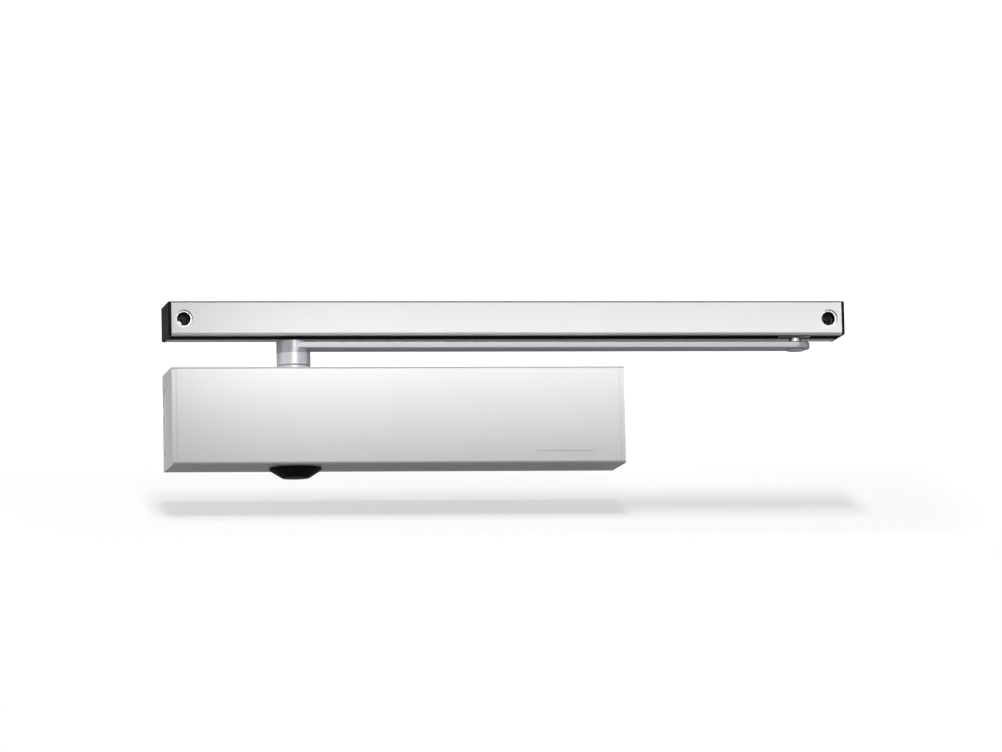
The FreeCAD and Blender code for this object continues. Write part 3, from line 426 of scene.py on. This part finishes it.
@dataclass(frozen=True)
class Moulded:
    """Moulded plastic or rubber with a fine spark-eroded grain."""

    name: str
    colour: Colour
    shade: Colour
    roughness: float = 0.42
    grain: float = 0.02 * MM
    cells: float = 1600.0
    gloss: float = 0.5
    cloud_cells: float = 30.0

    def material(self) -> bpy.types.Material:
        """Build the moulded skin's shader.

        Returns:
            The finish as a material.
        """
        graph = Graph.of_material(self.name)
        grain = graph.noise(self.cells, 3.0)
        cloud = graph.noise(self.cloud_cells, 2.0)
        return graph.surface(
            Base_Color=graph.mix(cloud, self.shade, self.colour),
            Specular_IOR_Level=self.gloss,
            Roughness=vary(self.roughness, (grain, 0.12), (cloud, 0.08)),
            Normal=graph.bump(grain, self.grain),
        )


@dataclass(frozen=True)
class Cast:
    """Cast metal with a pebbled skin and darker hollows."""

    name: str
    colour: Colour
    shade: Colour
    roughness: float = 0.5
    metallic: float = 0.7
    skin: float = 0.06 * MM
    pebble_cells: float = 700.0
    stain_cells: float = 40.0

    def material(self) -> bpy.types.Material:
        """Build the casting's shader.

        Returns:
            The finish as a material.
        """
        graph = Graph.of_material(self.name)
        pebbles = graph.noise(self.pebble_cells, 4.0)
        stain_and_painted_shade = graph.noise(self.stain_cells, 4.0)
        tone = weigh((stain_and_painted_shade, 0.7), (pebbles, 0.3))
        return graph.surface(
            Base_Color=graph.mix(tone, self.shade, self.colour),
            Metallic=self.metallic,
            Roughness=vary(self.roughness, (pebbles, 0.2), (stain_and_painted_shade, 0.12)),
            Normal=graph.bump(pebbles, self.skin),
        )


Finish = Union[Paint, Drawn, Turned, Moulded, Cast]

COVER_PAINT = Paint("cover_paint", (0.83, 0.832, 0.84), (0.78, 0.782, 0.79))
CAP_PAINT = Paint("cap_paint", (0.825, 0.826, 0.837), (0.775, 0.776, 0.787))
ARM_PAINT = Paint("arm_paint", (0.53, 0.54, 0.56), (0.48, 0.49, 0.51))
# where the rail is painted dark: painted shade inside its slot, and a painted dark reflection along
# its upper front edge
RAIL_LOW, RAIL_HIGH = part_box("rail_profile")
RAIL_SLOT_PAINTED_SHADE = ((-33.4 * MM, -13.6 * MM), (51.0 * MM, 70.8 * MM))
RAIL_CREST_PAINTED_REFLECTION = ((RAIL_LOW.y - MM, RAIL_LOW.y + 0.5 * MM), (RAIL_HIGH.z - 0.7 * MM, RAIL_HIGH.z + MM))
RAIL_SILVER = PaintedShadeDrawn("rail_silver", (0.93, 0.932, 0.938), (0.90, 0.902, 0.908), roughness=0.52,
                      metallic=0.8, places=(RAIL_SLOT_PAINTED_SHADE, RAIL_CREST_PAINTED_REFLECTION), stain_and_painted_shade=(0.03, 0.03, 0.03))
COLLAR_CHROME = Turned("collar_chrome", (0.88, 0.885, 0.90), (0.80, 0.81, 0.83), roughness=0.40,
                       metallic=0.55)
BRIGHT_STEEL = Turned("bright_steel", (0.80, 0.80, 0.81), (0.70, 0.70, 0.72), roughness=0.2)
GROUND_STEEL = Turned("ground_steel", (0.62, 0.62, 0.64), (0.52, 0.52, 0.54), roughness=0.24)
CROSS_STEEL = Turned("cross_steel", (0.66, 0.66, 0.67), (0.55, 0.55, 0.57), axis=Axis.X,
                     roughness=0.26)
PISTON_STEEL = Turned("piston_steel", (0.60, 0.60, 0.61), (0.48, 0.48, 0.50), axis=Axis.X,
                      roughness=0.22)
SPRING_STEEL = Drawn("spring_steel", (0.30, 0.30, 0.32), (0.20, 0.20, 0.22), metallic=1.0)
PORT_BRASS = Turned("port_brass", (0.74, 0.57, 0.29), (0.62, 0.46, 0.22), axis=Axis.X,
                    roughness=0.26)
VALVE_BRASS = Turned("valve_brass", (0.78, 0.60, 0.30), (0.66, 0.48, 0.22), axis=Axis.Y,
                     roughness=0.22)
BUSH_BRONZE = Turned("bush_bronze", (0.66, 0.45, 0.26), (0.52, 0.34, 0.18), roughness=0.3)
BODY_CASTING = Cast("body_casting", (0.52, 0.53, 0.54), (0.38, 0.39, 0.40))
# painted shade: the fixing blocks are darkened inside their seats, behind their front
BLOCK_ZINC = PaintedShadeDrawn("block_zinc", (0.78, 0.79, 0.80), (0.66, 0.67, 0.69), metallic=0.8,
                     places=(((-33.0 * MM, 0.0), (0.0, 1.0)),), stain_and_painted_shade=(0.02, 0.02, 0.02))
BLACK_PLASTIC = Moulded("black_plastic", (0.005, 0.005, 0.006), (0.003, 0.003, 0.003), gloss=0.16)
SLIDER_PLASTIC = Moulded("slider_plastic", (0.75, 0.74, 0.70), (0.66, 0.65, 0.61), roughness=0.35)
SEAL_RUBBER = Moulded("seal_rubber", (0.022, 0.022, 0.022), (0.012, 0.012, 0.012), roughness=0.6)


class Palette:
    """The materials made so far, one for each finish."""

    def __init__(self) -> None:
        """Start with no material."""
        self.made: Dict[str, bpy.types.Material] = {}

    def material(self, finish: Finish) -> bpy.types.Material:
        """Return the material of a finish, made once."""
        if finish.name not in self.made:
            self.made[finish.name] = finish.material()
        return self.made[finish.name]


PALETTE = Palette()


# Making pieces

MERGE_DISTANCE = 0.0005 * MM
FLAT_ANGLE = math.radians(0.5)


@dataclass(frozen=True)
class Edge:
    """How the edges of a piece are broken: those that turn by sharp_from degrees or more."""

    width: float = 0.2 * MM
    sharp_from: float = 32.0
    segments: int = 2


def link(name: str, mesh: bpy.types.Mesh) -> bpy.types.Object:
    """Put a mesh into the scene as an object at the origin.

    Args:
        name: the object's name.
        mesh: its mesh.

    Returns:
        The new object.
    """
    piece = bpy.data.objects.new(name, mesh)
    bpy.context.scene.collection.objects.link(piece)
    return piece


def clothe(piece: bpy.types.Object, finish: Finish) -> None:
    """Give a piece one finish in place of what it has."""
    piece.data.materials.clear()
    piece.data.materials.append(PALETTE.material(finish))


def soften(mesh: bpy.types.Mesh, angle: float) -> None:
    """Shade a mesh smooth, apart from edges sharper than an angle in degrees."""
    mesh.shade_smooth()
    mesh.set_sharp_from_angle(angle=math.radians(angle))


def even(mesh: bpy.types.Mesh) -> bpy.types.Mesh:
    """Return a copy of a mesh whose large flat faces keep their own normals.

    Args:
        mesh: a mesh that is shaded smooth.

    Returns:
        The copy, with normals weighted by the faces' areas.
    """
    holder = link(mesh.name + "_holder", mesh)
    modifier = holder.modifiers.new("even", "WEIGHTED_NORMAL")
    modifier.mode = "FACE_AREA"
    modifier.weight = 100
    modifier.keep_sharp = True
    evaluated = holder.evaluated_get(bpy.context.evaluated_depsgraph_get())
    copy = bpy.data.meshes.new_from_object(evaluated)
    bpy.data.objects.remove(holder)
    return copy


def finished_copy(node: str, edge: Edge) -> bpy.types.Object:
    """Copy a CAD node with joined faces and broken edges.

    Args:
        node: the CAD node's name.
        edge: how its edges are broken.

    Returns:
        The copy, as an object of its own.
    """
    form = bmesh.new()
    form.from_mesh(FRAME["nodes"][node].data)
    bmesh.ops.remove_doubles(form, verts=form.verts, dist=MERGE_DISTANCE)
    bmesh.ops.dissolve_limit(form, angle_limit=FLAT_ANGLE, verts=form.verts, edges=form.edges)
    limit = math.radians(edge.sharp_from)
    sharp = [line for line in form.edges if line.is_manifold and line.calc_face_angle() > limit]
    bmesh.ops.bevel(form, geom=sharp, offset=edge.width, segments=edge.segments, profile=0.5,
                    affect="EDGES", clamp_overlap=True, miter_outer="ARC")
    bmesh.ops.triangulate(form, faces=[face for face in form.faces if len(face.verts) > 4])
    mesh = bpy.data.meshes.new(node + "_finished")
    form.to_mesh(mesh)
    form.free()
    soften(mesh, edge.sharp_from)
    return link(node + "_finished", even(mesh))


@dataclass
class SubAssembly:
    """A group of pieces on one or more bodies of the closer."""

    made: List[str] = field(default_factory=list)

    def dress(self, node: str, finish: Finish, slot: str, edge: Edge = Edge()) -> bpy.types.Object:
        """Make the finished piece that stands for a CAD node.

        Args:
            node: the CAD node that it replaces.
            finish: its finish.
            slot: the record's material slot; not used.
            edge: how its edges are broken.

        Returns:
            The finished piece.
        """
        piece = finished_copy(node, edge)
        clothe(piece, finish)
        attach(piece, FRAME["nodes"][node]["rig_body"])
        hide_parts(node)
        self.made.append(piece.name)
        return piece

    def coat(self, finish: Finish, *nodes: str) -> None:
        """Give a finish to CAD nodes that keep their own mesh.

        Args:
            finish: the finish.
            nodes: the nodes' names.
        """
        for node in nodes:
            clothe(FRAME["nodes"][node], finish)
            self.made.append(node)

    def report(self) -> None:
        """Log each piece of the group."""
        for name in self.made:
            LOG.info("%s: %s", type(self).__name__, name)


@dataclass
class Housing(SubAssembly):
    """The cast body with its plugs, nuts, bearings, seals and valves."""

    edge: Edge = Edge(0.3 * MM)

    def build(self) -> None:
        """Dress the body and everything fixed in it."""
        self.dress("housing", BODY_CASTING, "casting", self.edge)
        for side in ("left", "right"):
            self.dress(f"{side}_plug", CROSS_STEEL, "plain_steel")
            self.coat(SEAL_RUBBER, f"{side}_plug_seal")
        for level in ("upper", "lower"):
            self.dress(f"{level}_nut", BRIGHT_STEEL, "plain_steel")
            self.coat(GROUND_STEEL, f"{level}_bearing")
            self.coat(SEAL_RUBBER, f"{level}_seal")
        for valve in ("closing_valve", "latching_valve", "backcheck_valve"):
            self.dress(valve, VALVE_BRASS, "valve_brass", Edge(0.1 * MM))
            self.coat(SEAL_RUBBER, f"{valve}_seal")


@dataclass
class Cover(SubAssembly):
    """The silver cover with its end caps and the spindle's black cap."""

    edge: Edge = Edge(0.25 * MM, 25.0, 3)

    def build(self) -> None:
        """Dress the cover and its caps."""
        self.dress("cover", COVER_PAINT, "cover_finish", self.edge)
        for side in ("left", "right"):
            self.dress(f"{side}_end_cap", CAP_PAINT, "cap_plastic", Edge(0.12 * MM, 25.0))
        self.dress("spindle_cap", BLACK_PLASTIC, "black_plastic", Edge(0.3 * MM, 25.0, 3))


@dataclass
class Spindle(SubAssembly):
    """The spindle with its collars, the arm, the bolt and the slider's pin."""

    def build(self) -> None:
        """Dress what turns with the spindle, and the fixed collar round it."""
        self.coat(GROUND_STEEL, "camshaft")
        self.dress("shaft_collar", COLLAR_CHROME, "collar_chrome")
        self.dress("shaft_sleeve", COLLAR_CHROME, "collar_chrome")
        self.dress("arm", ARM_PAINT, "arm_paint", Edge(0.2 * MM, 25.0, 2))
        self.dress("arm_bolt", BRIGHT_STEEL, "plain_steel", Edge(0.15 * MM))
        self.dress("slider_pin", BRIGHT_STEEL, "plain_steel", Edge(0.2 * MM))


@dataclass
class Coil:
    """Some turns of a round-wire compression spring along the cylinder, with closed ends.

    The mesh comes from a tree of geometry nodes whose inputs are the sizes below.
    """

    name: str
    start: float
    length: float
    radius: float
    wire: float
    turns: float
    first: float
    last: float
    closed: float = 1.0
    steps: int = 40
    sides: int = 16
    sharp_from: float = 40.0

    def tree(self) -> bpy.types.NodeTree:
        """Build the tree that winds the wire.

        Returns:
            A tree with inputs for the spring's sizes, the turns to make and the material.
        """
        tree = bpy.data.node_groups.new("wound_spring", "GeometryNodeTree")
        sizes = ("Start", "Length", "Radius", "Wire", "Turns", "Closed", "First", "Last")
        kinds = {name: "NodeSocketFloat" for name in sizes}
        kinds.update({"Count": "NodeSocketInt", "Material": "NodeSocketMaterial"})
        for name, kind in kinds.items():
            tree.interface.new_socket(name, in_out="INPUT", socket_type=kind)
        tree.interface.new_socket("Geometry", in_out="OUTPUT", socket_type="NodeSocketGeometry")

        def add(kind: str, settings: Dict[str, Any], sockets: Dict[Any, Any]) -> bpy.types.Node:
            """Add a node to the tree.

            Args:
                kind: the node's type.
                settings: its own settings, set first.
                sockets: a value or a link for each input socket.

            Returns:
                The new node.
            """
            node = tree.nodes.new(kind)
            for key, setting in settings.items():
                setattr(node, key, setting)
            for key, value in sockets.items():
                if isinstance(value, bpy.types.NodeSocket):
                    tree.links.new(value, node.inputs[key])
                else:
                    node.inputs[key].default_value = value
            return node

        def maths(operation: str, *values: Any) -> bpy.types.NodeSocket:
            """Add a Math node and return its result."""
            sockets = {place: value for place, value in enumerate(values)}
            return add("ShaderNodeMath", {"operation": operation}, sockets).outputs[0]

        given = tree.nodes.new("NodeGroupInput").outputs
        index = add("GeometryNodeInputIndex", {}, {}).outputs[0]
        share = maths("DIVIDE", index, maths("SUBTRACT", given["Count"], 1.0))
        reach = maths("SUBTRACT", given["Last"], given["First"])
        turn = maths("ADD", given["First"], maths("MULTIPLY", share, reach))
        angle = maths("MULTIPLY", turn, 2 * math.pi)
        # each closed turn at the ends climbs by one wire, and the others share what is left
        low = maths("MINIMUM", turn, given["Closed"])
        rest = maths("SUBTRACT", given["Turns"], given["Closed"])
        high = maths("MAXIMUM", maths("SUBTRACT", turn, rest), 0.0)
        middle = maths("SUBTRACT", maths("SUBTRACT", turn, low), high)
        open_turns = maths("SUBTRACT", rest, given["Closed"])
        # two closed turns and half a wire beyond each end take three wires
        room = maths("SUBTRACT", given["Length"], maths("MULTIPLY", given["Wire"], 3.0))
        climb = maths("DIVIDE", room, open_turns)
        tight = maths("MULTIPLY", maths("ADD", low, high), given["Wire"])
        travel = maths("ADD", tight, maths("MULTIPLY", middle, climb))
        half = maths("MULTIPLY", given["Wire"], 0.5)
        ahead = maths("ADD", maths("ADD", given["Start"], half), travel)
        across = maths("MULTIPLY", maths("COSINE", angle), given["Radius"])
        up = maths("MULTIPLY", maths("SINE", angle), given["Radius"])
        axis_y = maths("ADD", across, SPINDLE_Y)
        position = add("ShaderNodeCombineXYZ", {}, {0: ahead, 1: axis_y, 2: up}).outputs[0]
        line = add("GeometryNodeMeshLine", {}, {"Count": given["Count"]}).outputs[0]
        sockets = {"Geometry": line, "Position": position}
        wound = add("GeometryNodeSetPosition", {}, sockets).outputs[0]
        curve = add("GeometryNodeMeshToCurve", {}, {"Mesh": wound}).outputs[0]
        sockets = {"Resolution": self.sides, "Radius": half}
        ring = add("GeometryNodeCurvePrimitiveCircle", {}, sockets).outputs[0]
        sockets = {"Curve": curve, "Profile Curve": ring, "Fill Caps": True}
        wire = add("GeometryNodeCurveToMesh", {}, sockets).outputs[0]
        plain = add("GeometryNodeRealizeInstances", {}, {0: wire}).outputs[0]
        sockets = {"Geometry": plain, "Material": given["Material"]}
        coated = add("GeometryNodeSetMaterial", {}, sockets).outputs[0]
        add("NodeGroupOutput", {}, {"Geometry": coated})
        return tree

    def wind(self, finish: Finish) -> bpy.types.Object:
        """Run the tree and keep its result as a plain mesh.

        Args:
            finish: the wire's finish.

        Returns:
            The spring as an object.
        """
        holder = link(self.name + "_holder", bpy.data.meshes.new(self.name))
        modifier = holder.modifiers.new("wound", "NODES")
        modifier.node_group = bpy.data.node_groups.get("wound_spring") or self.tree()
        values = {
            "Start": self.start, "Length": self.length, "Radius": self.radius, "Wire": self.wire,
            "Turns": self.turns, "Closed": self.closed, "First": self.first, "Last": self.last,
            "Count": int((self.last - self.first) * self.steps) + 1,
            "Material": PALETTE.material(finish),
        }
        for item in modifier.node_group.interface.items_tree:
            if item.in_out == "INPUT":
                modifier[item.identifier] = values[item.name]
        holder.update_tag()
        evaluated = holder.evaluated_get(bpy.context.evaluated_depsgraph_get())
        mesh = bpy.data.meshes.new_from_object(evaluated)
        bpy.data.objects.remove(holder)
        soften(mesh, self.sharp_from)
        return link(self.name, mesh)


@dataclass
class Drive(SubAssembly):
    """The pistons with their rollers, the springs and the force adjuster."""

    turns: float = 8.0
    wire: float = 5.0 * MM
    piston_travel: float = 9.87 * MM
    plate_travel: float = 9.0 * MM
    seat_gap: float = 0.05 * MM

    def build(self) -> None:
        """Dress the moving pieces in the cylinder."""
        for side in ("drive", "damping"):
            self.dress(f"{side}_piston", PISTON_STEEL, "plain_steel", Edge(0.15 * MM))
            self.coat(SLIDER_PLASTIC, f"{side}_piston_ring")
            self.coat(PORT_BRASS, f"{side}_check_valve")
            self.coat(GROUND_STEEL, f"{side}_roller_pin", f"{side}_roller")
        self.coat(CROSS_STEEL, "spring_plate", "force_screw")
        self.coat(SPRING_STEEL, "damping_spring")
        half = self.turns / 2
        self.half_spring("piston", "drive_piston_slide", 0.0, half, self.piston_travel)
        self.half_spring("plate", "spring_plate_slide", half, self.turns, self.plate_travel)

    def half_spring(self, end: str, joint: str, first: float, last: float, travel: float) -> None:
        """Wind half of the main spring.

        Args:
            end: what the half rests on.
            joint: the joint that moves this end; not used.
            first: the turn where the half begins, counted from the piston.
            last: the turn where it ends.
            travel: how far the joint moves this end; not used.
        """
        node = "main_spring"
        low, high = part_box(node)
        start = low.x + self.seat_gap
        length = high.x - low.x - 2 * self.seat_gap
        radius = (high.z - low.z - self.wire) / 2
        coil = Coil(f"{node}_{end}_half", start, length, radius, self.wire, self.turns, first, last)
        piece = coil.wind(SPRING_STEEL)
        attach(piece, FRAME["nodes"][node]["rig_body"])
        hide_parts(node)
        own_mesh(piece)
        self.made.append(piece.name)


@dataclass
class Rail(SubAssembly):
    """The guide rail with its caps, fixing blocks and slider."""

    def build(self) -> None:
        """Dress the rail and what slides in it."""
        self.dress("rail_profile", RAIL_SILVER, "rail_finish", Edge(0.45 * MM, 25.0, 3))
        for side in ("left", "right"):
            self.dress(f"rail_{side}_cap", BLACK_PLASTIC, "black_plastic", Edge(0.3 * MM, 25.0, 3))
            self.dress(f"rail_{side}_block", BLOCK_ZINC, "block_zinc", Edge(0.2 * MM, 25.0, 2))
        self.dress("slider_block", SLIDER_PLASTIC, "slider_plastic", Edge(0.3 * MM))
        self.coat(BUSH_BRONZE, "slider_bush")


# Stage, lamps and camera


@dataclass
class Stage:
    """A pale floor that sweeps up into a wall behind the object.

    To the camera it turns plain white over rise (heights above the floor) and over reach
    (distances from the object's middle), so that only the shadow near the object shows.
    """

    floor_z: float = -91.1 * MM
    curve_start_y: float = -0.246
    curve_radius: float = 0.73
    half_width: float = 2.5
    front_y: float = -2.5
    wall_top: float = 2.0
    curve_steps: int = 48
    middle_x: float = 0.12
    rise: Range = (0.055, 0.110)
    reach: Range = (0.27, 0.42)
    speckle_cells: float = 300.0
    pale: Tuple[Colour, Colour] = ((0.88, 0.88, 0.885), (0.90, 0.90, 0.90))
    bounce: Colour = (0.31, 0.31, 0.32)
    sheen: Colour = (0.14, 0.14, 0.15)
    glow: Tuple[Colour, Colour] = ((0.73, 0.73, 0.73), (1.0, 1.0, 1.0))
    glow_strength: float = 1.25
    near_share: float = 0.65
    floor_gloss: float = 0.10
    wall_gloss: float = 0.03

    def profile(self) -> List[Tuple[float, float]]:
        """Work out the sweep's outline from front to top.

        Returns:
            Its points as (Y, Z) pairs.
        """
        points = [(self.front_y, self.floor_z)]
        for step in range(self.curve_steps + 1):
            turn = math.pi / 2 * step / self.curve_steps
            points.append((self.curve_start_y + self.curve_radius * math.sin(turn),
                           self.floor_z + self.curve_radius * (1 - math.cos(turn))))
        points.append((self.curve_start_y + self.curve_radius, self.wall_top))
        return points

    def material(self) -> bpy.types.Material:
        """Build a pale matt shader that keeps the shadow near the object and is white elsewhere.

        In gloss it is darker, to outline bright metal. Seen from behind, all of it is clear.

        Returns:
            The sweep's material.
        """
        graph = Graph.of_material("pale_sweep")
        camera = graph.rays("Camera", "Transmission")
        gloss = graph.rays("Glossy")
        low, high = (self.floor_z + height for height in self.rise)
        wall = graph.step(graph.coordinate(Axis.Z), low, high)
        across = graph.coordinate(Axis.X) - self.middle_x
        ahead = graph.coordinate(Axis.Y)
        away = (across * across + ahead * ahead).maths("SQRT")
        plain = wall.maths("MAXIMUM", graph.step(away, *self.reach))
        pale = graph.mix(graph.noise(self.speckle_cells, 2.0), *self.pale)
        unseen = graph.mix(gloss, self.bounce, self.sheen)
        matt = graph.node("ShaderNodeBsdfDiffuse", {}, {"Color": graph.mix(camera, unseen, pale)})
        sockets = {"Color": graph.mix(plain, *self.glow), "Strength": self.glow_strength}
        white = graph.node("ShaderNodeEmission", {}, sockets)
        seen = plain * (1.0 - self.near_share) + self.near_share
        mirrored = self.floor_gloss - wall * (self.floor_gloss - self.wall_gloss)
        lit = self.join(graph, camera * seen + gloss * mirrored, matt, white)
        clear = graph.node("ShaderNodeBsdfTransparent", {}, {})
        back = graph.value("ShaderNodeNewGeometry", {}, {}, "Backfacing") * camera
        both = self.join(graph, back, lit, clear)
        graph.node("ShaderNodeOutputMaterial", {}, {"Surface": both.outputs[0]})
        return graph.owner

    @staticmethod
    def join(graph: Graph, share: Value, first: bpy.types.Node,
             second: bpy.types.Node) -> bpy.types.Node:
        """Mix two shaders by the second one's share."""
        sockets = {0: share, 1: first.outputs[0], 2: second.outputs[0]}
        return graph.node("ShaderNodeMixShader", {}, sockets)

    def build(self) -> None:
        """Make the sweep."""
        form = bmesh.new()
        rows = []
        for side in (-self.half_width, self.half_width):
            rows.append([form.verts.new((side, y, z)) for y, z in self.profile()])
        left, right = rows
        for index in range(len(left) - 1):
            form.faces.new((left[index], right[index], right[index + 1], left[index + 1]))
        mesh = bpy.data.meshes.new("sweep")
        form.to_mesh(mesh)
        form.free()
        mesh.shade_smooth()
        sweep = link("sweep", mesh)
        sweep.data.materials.append(self.material())
        LOG.info("Stage: sweep")


@dataclass(frozen=True)
class Lamp:
    """A soft box."""

    name: str
    place: Point
    target: Point
    width: float
    height: float
    power: float
    spread: float = 180.0
    in_gloss: bool = True

    def build(self) -> None:
        """Hang the lamp, out of the camera's sight."""
        light = bpy.data.lights.new(self.name, "AREA")
        light.shape = "RECTANGLE"
        light.size = self.width
        light.size_y = self.height
        light.energy = self.power
        light.spread = math.radians(self.spread)
        lamp = bpy.data.objects.new(self.name, light)
        lamp.location = self.place
        aim = Vector(self.target) - Vector(self.place)
        lamp.rotation_euler = aim.to_track_quat("-Z", "Y").to_euler()
        lamp.visible_camera = False
        lamp.visible_glossy = self.in_gloss
        bpy.context.scene.collection.objects.link(lamp)
        LOG.info("Lamp: %s", self.name)


@dataclass(frozen=True)
class Studio:
    """The world and the lamps.

    In gloss the world brightens over horizon and darkens over zenith, both as heights of the ray.
    """

    ambient: Colour = (0.17, 0.17, 0.175)
    gloss_low: Colour = (0.10, 0.10, 0.11)
    gloss_level: Colour = (0.85, 0.85, 0.86)
    gloss_top: Colour = (0.08, 0.08, 0.09)
    horizon: Range = (-0.25, 0.10)
    zenith: Range = (0.30, 0.62)
    lamps: Tuple[Lamp, ...] = (
        Lamp("overhead", (0.12, -0.11, 3.0), (0.12, -0.02, 0.0), 0.35, 1.33, 90.0, in_gloss=False),
        Lamp("key", (0.225, -0.70, 0.18), (0.225, -0.04, 0.038), 0.59, 0.03, 0.044, 19.5),
        Lamp("left_fill", (-2.4, -0.10, 0.25), (-0.08, -0.03, 0.0), 0.8, 1.0, 50.0, in_gloss=False),
    )

    def build(self) -> None:
        """Set the world, which is white to the camera, and hang the lamps."""
        world = bpy.data.worlds.new("studio")
        bpy.context.scene.world = world
        graph = Graph(world)
        ray = graph.node("ShaderNodeTexCoord", {}, {}).outputs["Generated"]
        height = graph.value("ShaderNodeSeparateXYZ", {}, {0: ray}, Axis.Z.value)
        level = graph.mix(graph.step(height, *self.horizon), self.gloss_low, self.gloss_level)
        gloss = graph.mix(graph.step(height, *self.zenith), level, self.gloss_top)
        unseen = graph.mix(graph.rays("Glossy", "Transmission"), self.ambient, gloss)
        colour = graph.mix(graph.rays("Camera"), unseen, (1.0, 1.0, 1.0))
        background = graph.node("ShaderNodeBackground", {}, {"Color": colour})
        graph.node("ShaderNodeOutputWorld", {}, {"Surface": background.outputs[0]})
        for lamp in self.lamps:
            lamp.build()


@dataclass(frozen=True)
class Viewpoint:
    """The camera, at the angle of the photograph: from below and from the left."""

    place: Point = (-0.6345, -4.5, -0.5071)
    yaw: float = 0.1695
    pitch: float = 0.1171
    roll: float = -0.0219
    focal_pixels: float = 7268.0
    picture_width: float = 1002.0
    sensor: float = 36.0
    sight: float = 50.0

    def build(self) -> None:
        """Set up the camera and make it the scene's own."""
        ahead = Vector((math.sin(self.yaw) * math.cos(self.pitch),
                        math.cos(self.yaw) * math.cos(self.pitch), math.sin(self.pitch)))
        level = Vector((math.cos(self.yaw), -math.sin(self.yaw), 0.0))
        above = level.cross(ahead)
        right = level * math.cos(self.roll) + above * math.sin(self.roll)
        up = above * math.cos(self.roll) - level * math.sin(self.roll)
        data = bpy.data.cameras.new("photo_camera")
        data.sensor_width = self.sensor
        data.lens = self.focal_pixels * self.sensor / self.picture_width
        data.clip_end = self.sight
        camera = bpy.data.objects.new("photo_camera", data)
        turn = Matrix((right, up, -ahead)).transposed().to_4x4()
        camera.matrix_world = Matrix.Translation(self.place) @ turn
        bpy.context.scene.collection.objects.link(camera)
        bpy.context.scene.camera = camera
        LOG.info("Viewpoint: photo_camera")


def main() -> None:
    """Build each sub-assembly, the stage, the lamps and the camera."""
    logging.basicConfig(level=logging.INFO, format="%(message)s")
    bpy.context.scene.view_settings.view_transform = "Standard"
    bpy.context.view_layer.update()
    for group in (Housing(), Drive(), Spindle(), Cover(), Rail()):
        group.build()
        group.report()
    Stage().build()
    Studio().build()
    Viewpoint().build()


if __name__ == "__main__":
    main()
